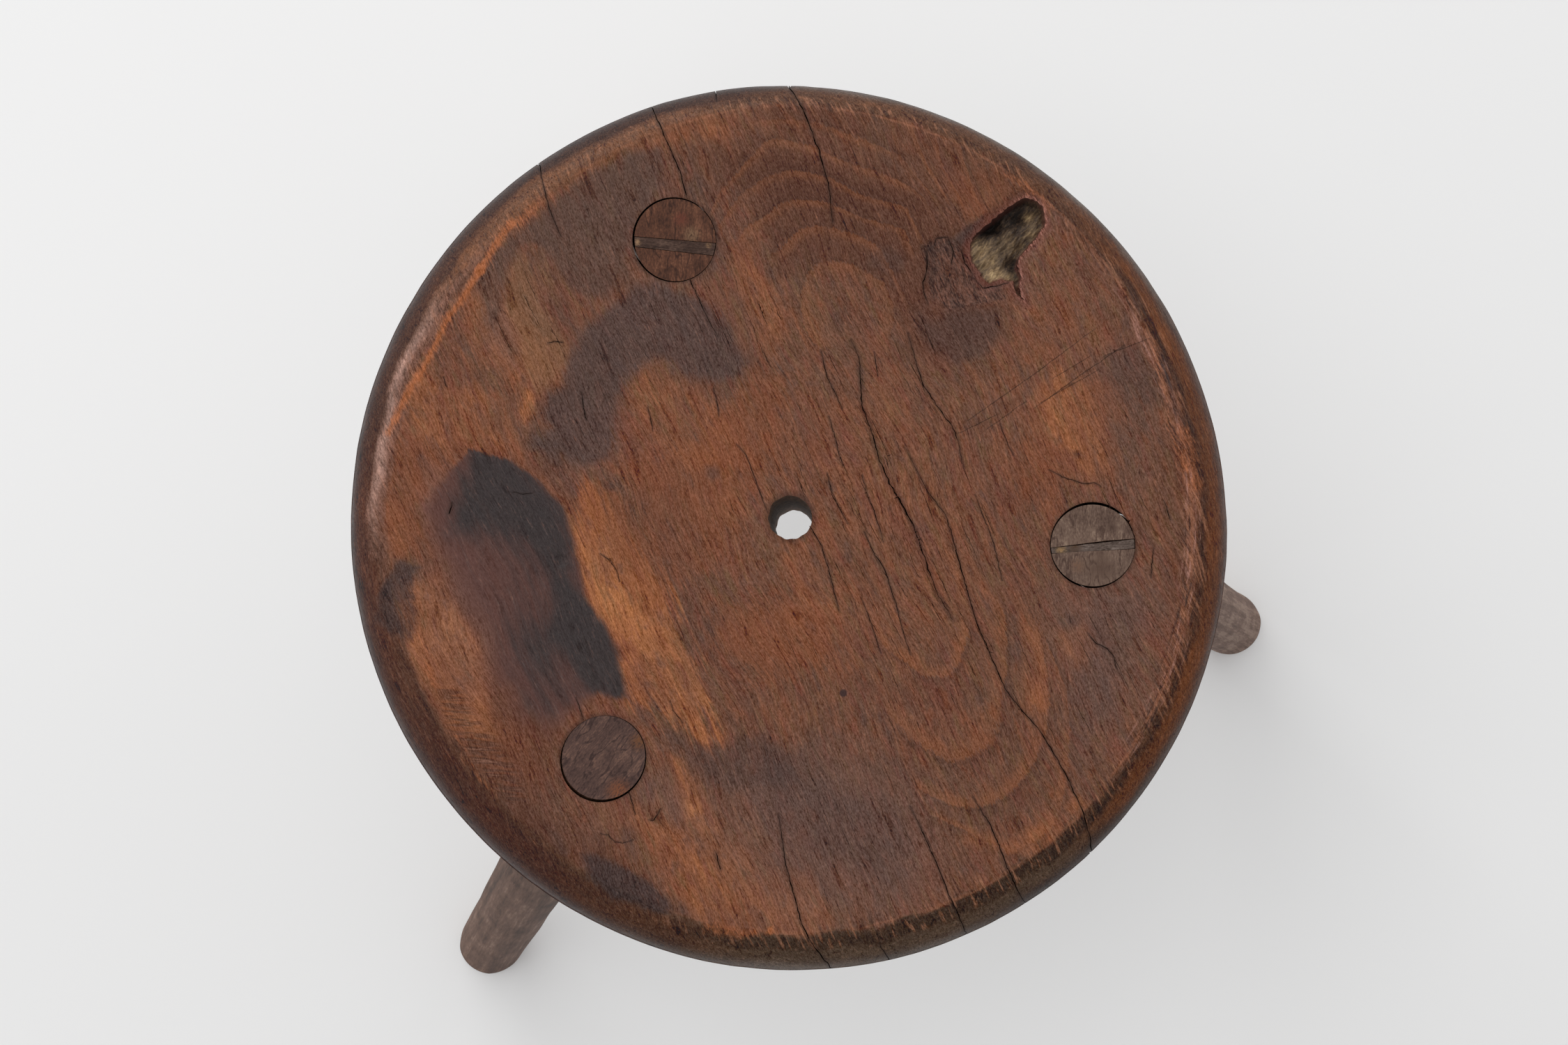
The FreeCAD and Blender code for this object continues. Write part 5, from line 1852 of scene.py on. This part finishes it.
# %% Shave the legs
def make_leg(leg, seed):
    """Stick with uneven rings, leaned into place and sawn level at both ends."""
    outline = leg_outline(leg)
    bpy.ops.mesh.primitive_circle_add(vertices=LEG_SIDES, radius=outline[0][1] * MM, fill_type="NGON",
                                      location=(0, 0, outline[0][0] * MM))
    stick = named(f"{leg}_leg")
    settle(stick)
    edit_all(stick)
    for (low, thin), (high, thick) in zip(outline, outline[1:]):
        bpy.ops.mesh.extrude_region_move(TRANSFORM_OT_translate={"value": (0, 0, (high - low) * MM)})
        bpy.ops.transform.resize(value=(thick / thin, thick / thin, 1))
    end_edit()
    clean_up(stick)
    places = point_table(stick)
    for place in places:
        depth = min(max(-place[2] - SEAT_THICKNESS, 0) / UNEVEN_START, 1)
        wander = noise.noise_vector(Vector((seed, 0, place[2] / WANDER_LENGTH)))
        across = place[:2] * FLAT_FINENESS
        flats = noise.noise(Vector((across[0], across[1], place[2] / FLAT_LENGTH + seed)))
        place[:2] *= 1 + FLAT_DEPTH * flats * depth
        place[:2] += (wander.x * LEG_UNEVEN * depth, wander.y * LEG_UNEVEN * depth)
    place_points(stick, places)
    lean_with(stick, leg)
    saw(stick, 0.0, keep_above=True)
    saw(stick, TOP, keep_above=False)
    select_level_faces(stick, 0.0)
    bpy.ops.mesh.bevel(offset=FOOT_BEVEL * MM, segments=2)
    end_edit()
    return stick


legs = {leg: make_leg(leg, seed) for seed, leg in enumerate(LEGS)}
print({leg: len(stick.data.vertices) for leg, stick in legs.items()}, "points on the legs")

# %% [markdown]
# ## Wedges
# Two tenons were sawn down their middle and spread with a wedge, which was then cut off flush. A cube is
# drawn in to a thin tip, and one end is a bit thinner on the right-hand wedge, as split wood comes. The
# same shape, a hair larger, cuts the kerf in the leg, so a fine dark line shows on both sides of the
# wedge.

# %% Make and fit the wedges
WEDGES = {
    "back": {"thickness": (3.6, 4.1), "heading": -5.0, "offset": -2.0},
    "right": {"thickness": (1.7, 3.8), "heading": 5.0, "offset": -0.7},
}
WEDGE_DEPTH = 26.0
WEDGE_TIP = 1.2
KERF_GAP = 0.2
BLANK_LENGTH = 2.2
WEDGE_INSET = 0.1


def wedge_blank(leg, gap):
    """Tapered blank along a tenon's wedge line, wider than the tenon, with an optional gap on each face."""
    form = WEDGES[leg]
    length = BLANK_LENGTH * TENON_RADIUS
    bpy.ops.mesh.primitive_cube_add(size=1)
    blank = named(f"{leg}_wedge")
    # Each corner of the cube is at plus or minus a half, and is moved to its corner of the wedge.
    places = point_table(blank) * MM
    left, right = form["thickness"]
    for place in places:
        head = left + (right - left) * (place[0] + 0.5)
        high = place[2] > 0
        grown = head + (head - WEDGE_TIP) * SAWING_ALLOWANCE / WEDGE_DEPTH
        thickness = (grown if high else WEDGE_TIP) + 2 * gap
        place[:] = (place[0] * length, np.sign(place[1]) * thickness / 2 + form["offset"],
                    SAWING_ALLOWANCE if high else -WEDGE_DEPTH - gap)
    place_points(blank, places)
    blank.rotation_euler.z = math.radians(form["heading"] - LEGS[leg]["heading"])
    settle(blank)
    return blank


def make_wedge(leg):
    """Wedge with its ends rounded to the tenon, in its kerf."""
    wedge = wedge_blank(leg, 0.0)
    bpy.ops.mesh.primitive_cylinder_add(vertices=LEG_SIDES, radius=(TENON_RADIUS - WEDGE_INSET) * MM,
                                        depth=BORE_LENGTH * MM)
    cut(wedge, named("tenon_round"), "INTERSECT")
    lean_with(wedge, leg)
    saw(wedge, TOP, keep_above=False)
    kerf = wedge_blank(leg, KERF_GAP)
    lean_with(kerf, leg)
    cut(legs[leg], kerf)
    return wedge


wedges = {leg: make_wedge(leg) for leg in WEDGES}
for leg, wedge in wedges.items():
    print(leg, "wedge:", [round(value / MM, 1) for value in wedge.dimensions], "mm")

# %% [markdown]
# ## Leg and wedge finish
# The legs were never polished like the seat: they are grey-brown and streaked lengthwise. The streaks
# have to run down each leaned leg, so every point stores where it is in the leg's own space, and the
# noise is drawn out along that space's Z. The right leg is a little paler, and painted light makes each
# leg a little lighter towards its foot. The sawn ends show end grain, with fine rays and darker dirt.

# %% Leg space
LEG_PALE = {"back": 0.0, "right": 0.17, "left": 0.0}


def leg_frame(leg):
    """Axes of a leg's own space, one per column."""
    lean = math.radians(LEGS[leg]["splay"])
    turn = math.radians(LEGS[leg]["heading"])
    up = np.array([-math.sin(lean) * math.cos(turn), -math.sin(lean) * math.sin(turn), math.cos(lean)])
    side = np.array([-math.sin(turn), math.cos(turn), 0])
    return np.stack([np.cross(side, up), side, up], axis=1)


def keep_leg_space(piece, leg):
    """Store each point's place in the leg's own space, in mm."""
    local = (point_table(piece) - np.array(tenon_middle(leg))) @ leg_frame(leg)
    keep_mark(piece, "leg_space", local)
    keep_mark(piece, "pale", np.full(len(local), LEG_PALE[leg]))


def give_materials(piece, side, end):
    """Give level faces the end-grain finish and all others the side finish."""
    piece.data.materials.clear()
    piece.data.materials.append(side)
    piece.data.materials.append(end)
    for face in piece.data.polygons:
        face.material_index = 1 if abs(face.normal.z) > LEVEL_NORMAL else 0


# %% Leg wood
leg_wood, leg_tree, leg_shader = new_finish("leg_wood")
draw_in(leg_tree)
leg_space = mark("leg_space", "Vector")
leg_streak = grain_noise(leg_space, (0.30, 0.30, 0.012), detail=4.0, rough=0.6)
leg_fibre = grain_noise(leg_space, (1.2, 1.2, 0.10), detail=4.0, rough=0.6)
leg_blotch = grain_noise(leg_space, (0.08, 0.08, 0.04), detail=4.0, rough=0.6)
leg_down = add_node("ShaderNodeSeparateXYZ", {0: leg_space}).outputs["Z"]
# Painted light: each leg is a little lighter towards its foot.
leg_foot_painted_light = span(leg_down, -150.0, -430.0)
leg_tone = weighted_sum(0.41, [
    (1.0, mark("pale"), 0.0),
    (1.0, leg_streak, 0.5),
    (0.12, leg_foot_painted_light, 0.0),
    (0.7, leg_fibre, 0.5),
    (0.9, leg_blotch, 0.5),
])
leg_colour = shades(leg_tone, [
    (0.2, wood(72, 52, 42)),
    (0.42, wood(98, 72, 59)),
    (0.62, wood(117, 89, 75)),
    (0.85, wood(150, 124, 108)),
])
leg_bump = relief_of(leg_fibre, 0.4, 0.4)
feed(leg_shader, Base_Color=leg_colour, Roughness=0.65, Specular_IOR_Level=0.25, Normal=leg_bump)
print("leg finish of", len(leg_tree.nodes), "nodes")


# %% End grain
def end_grain(name, heading, row, spots):
    """Finish for a sawn end: lines along a heading, specks and patches in a row of shades, and spots."""
    material, end_tree, shader = new_finish(name)
    draw_in(end_tree)
    space = wood_space(heading)
    lines = grain_noise(space, (0.06, 0.8, 0.5), detail=4.0, rough=0.62)
    specks = grain_noise(space, (0.8, 1.8, 1.0), detail=3.0, rough=0.65)
    patches = grain_noise(space, (0.12, 0.15, 0.1), detail=3.0)
    cracks = grain_noise(space, (0.05, 0.16, 0.1), detail=2.0)
    from_crack = calculate("ABSOLUTE", calculate("SUBTRACT", cracks, 0.5))
    crack = times(span(from_crack, 0.022, 0.006), span(patches, 0.42, 0.52))
    parts = [(0.6, lines, 0.5), (1.1, specks, 0.5), (1.0, patches, 0.5), (-0.3, crack, 0.0)]
    tone = weighted_sum(0.5, parts)
    colour = shades(tone, [(place, wood(*shade)) for place, shade in zip((0.2, 0.4, 0.58, 0.8), row)])
    for middle, radius, shade in spots:
        spot = span(distance_from(middle), radius * MM, 0.0)
        amount = times(spot, span(specks, 0.3, 0.6))
        colour = blend(amount, colour, wood(*shade))
    bump = relief_of(specks, 0.4, 0.3)
    feed(shader, Base_Color=colour, Roughness=0.5, Specular_IOR_Level=0.3, Normal=bump)
    return material


# An end is its grain's heading, a row of shades, and spots with a middle, a radius in mm and a colour.
TENON_ENDS = {
    "back": (92, [(60, 40, 33), (79, 52, 41), (93, 61, 47), (120, 81, 62)],
        [((-36.0, 103.6), 4.5, (122, 94, 72)), ((-40.0, 109.5), 4.0, (104, 58, 46))]),
    "right": (92, [(78, 60, 52), (98, 78, 68), (113, 92, 80), (138, 116, 100)],
        [((116.5, -3.5), 3.0, (78, 60, 52)), ((104.0, -17.5), 4.0, (112, 84, 68)),
         ((112.0, -18.0), 9.0, (90, 70, 60))]),
    "left": (52, [(62, 47, 44), (80, 61, 56), (92, 70, 63), (116, 88, 76)],
        [((-62.0, -99.0), 6.5, (124, 76, 52)), ((-54.5, -81.0), 5.0, (112, 74, 50))]),
}
WEDGE_ENDS = {
    "back": (-5, [(54, 40, 35), (68, 51, 44), (80, 61, 53), (104, 82, 70)],
        [((-55.8, 100.8), 1.9, (150, 118, 90)), ((-29.8, 99.6), 1.5, (142, 110, 82))]),
    "right": (5, [(58, 47, 41), (82, 69, 62), (98, 84, 77), (122, 108, 100)],
        [((98.0, -11.8), 3.0, (146, 116, 82)), ((103.0, -10.6), 4.0, (80, 60, 46))]),
}

# %% Legs and wedges into the frame
for leg, stick in legs.items():
    keep_leg_space(stick, leg)
    give_materials(stick, leg_wood, end_grain(f"tenon_end_{leg}", *TENON_ENDS[leg]))
    shade_smooth(stick)
    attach(stick, "root")
    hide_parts(f"leg_{leg}")
for leg, wedge in wedges.items():
    keep_leg_space(wedge, leg)
    give_materials(wedge, leg_wood, end_grain(f"wedge_end_{leg}", *WEDGE_ENDS[leg]))
    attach(wedge, "root")
    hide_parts(f"wedge_{leg}")
print(len(legs), "legs and", len(wedges), "wedges finished")

# %% [markdown]
# ## Size and finish
# The visual model has to stay inside the CAD model's box.

# %% Clear the selection
bpy.ops.object.select_all(action="DESELECT")
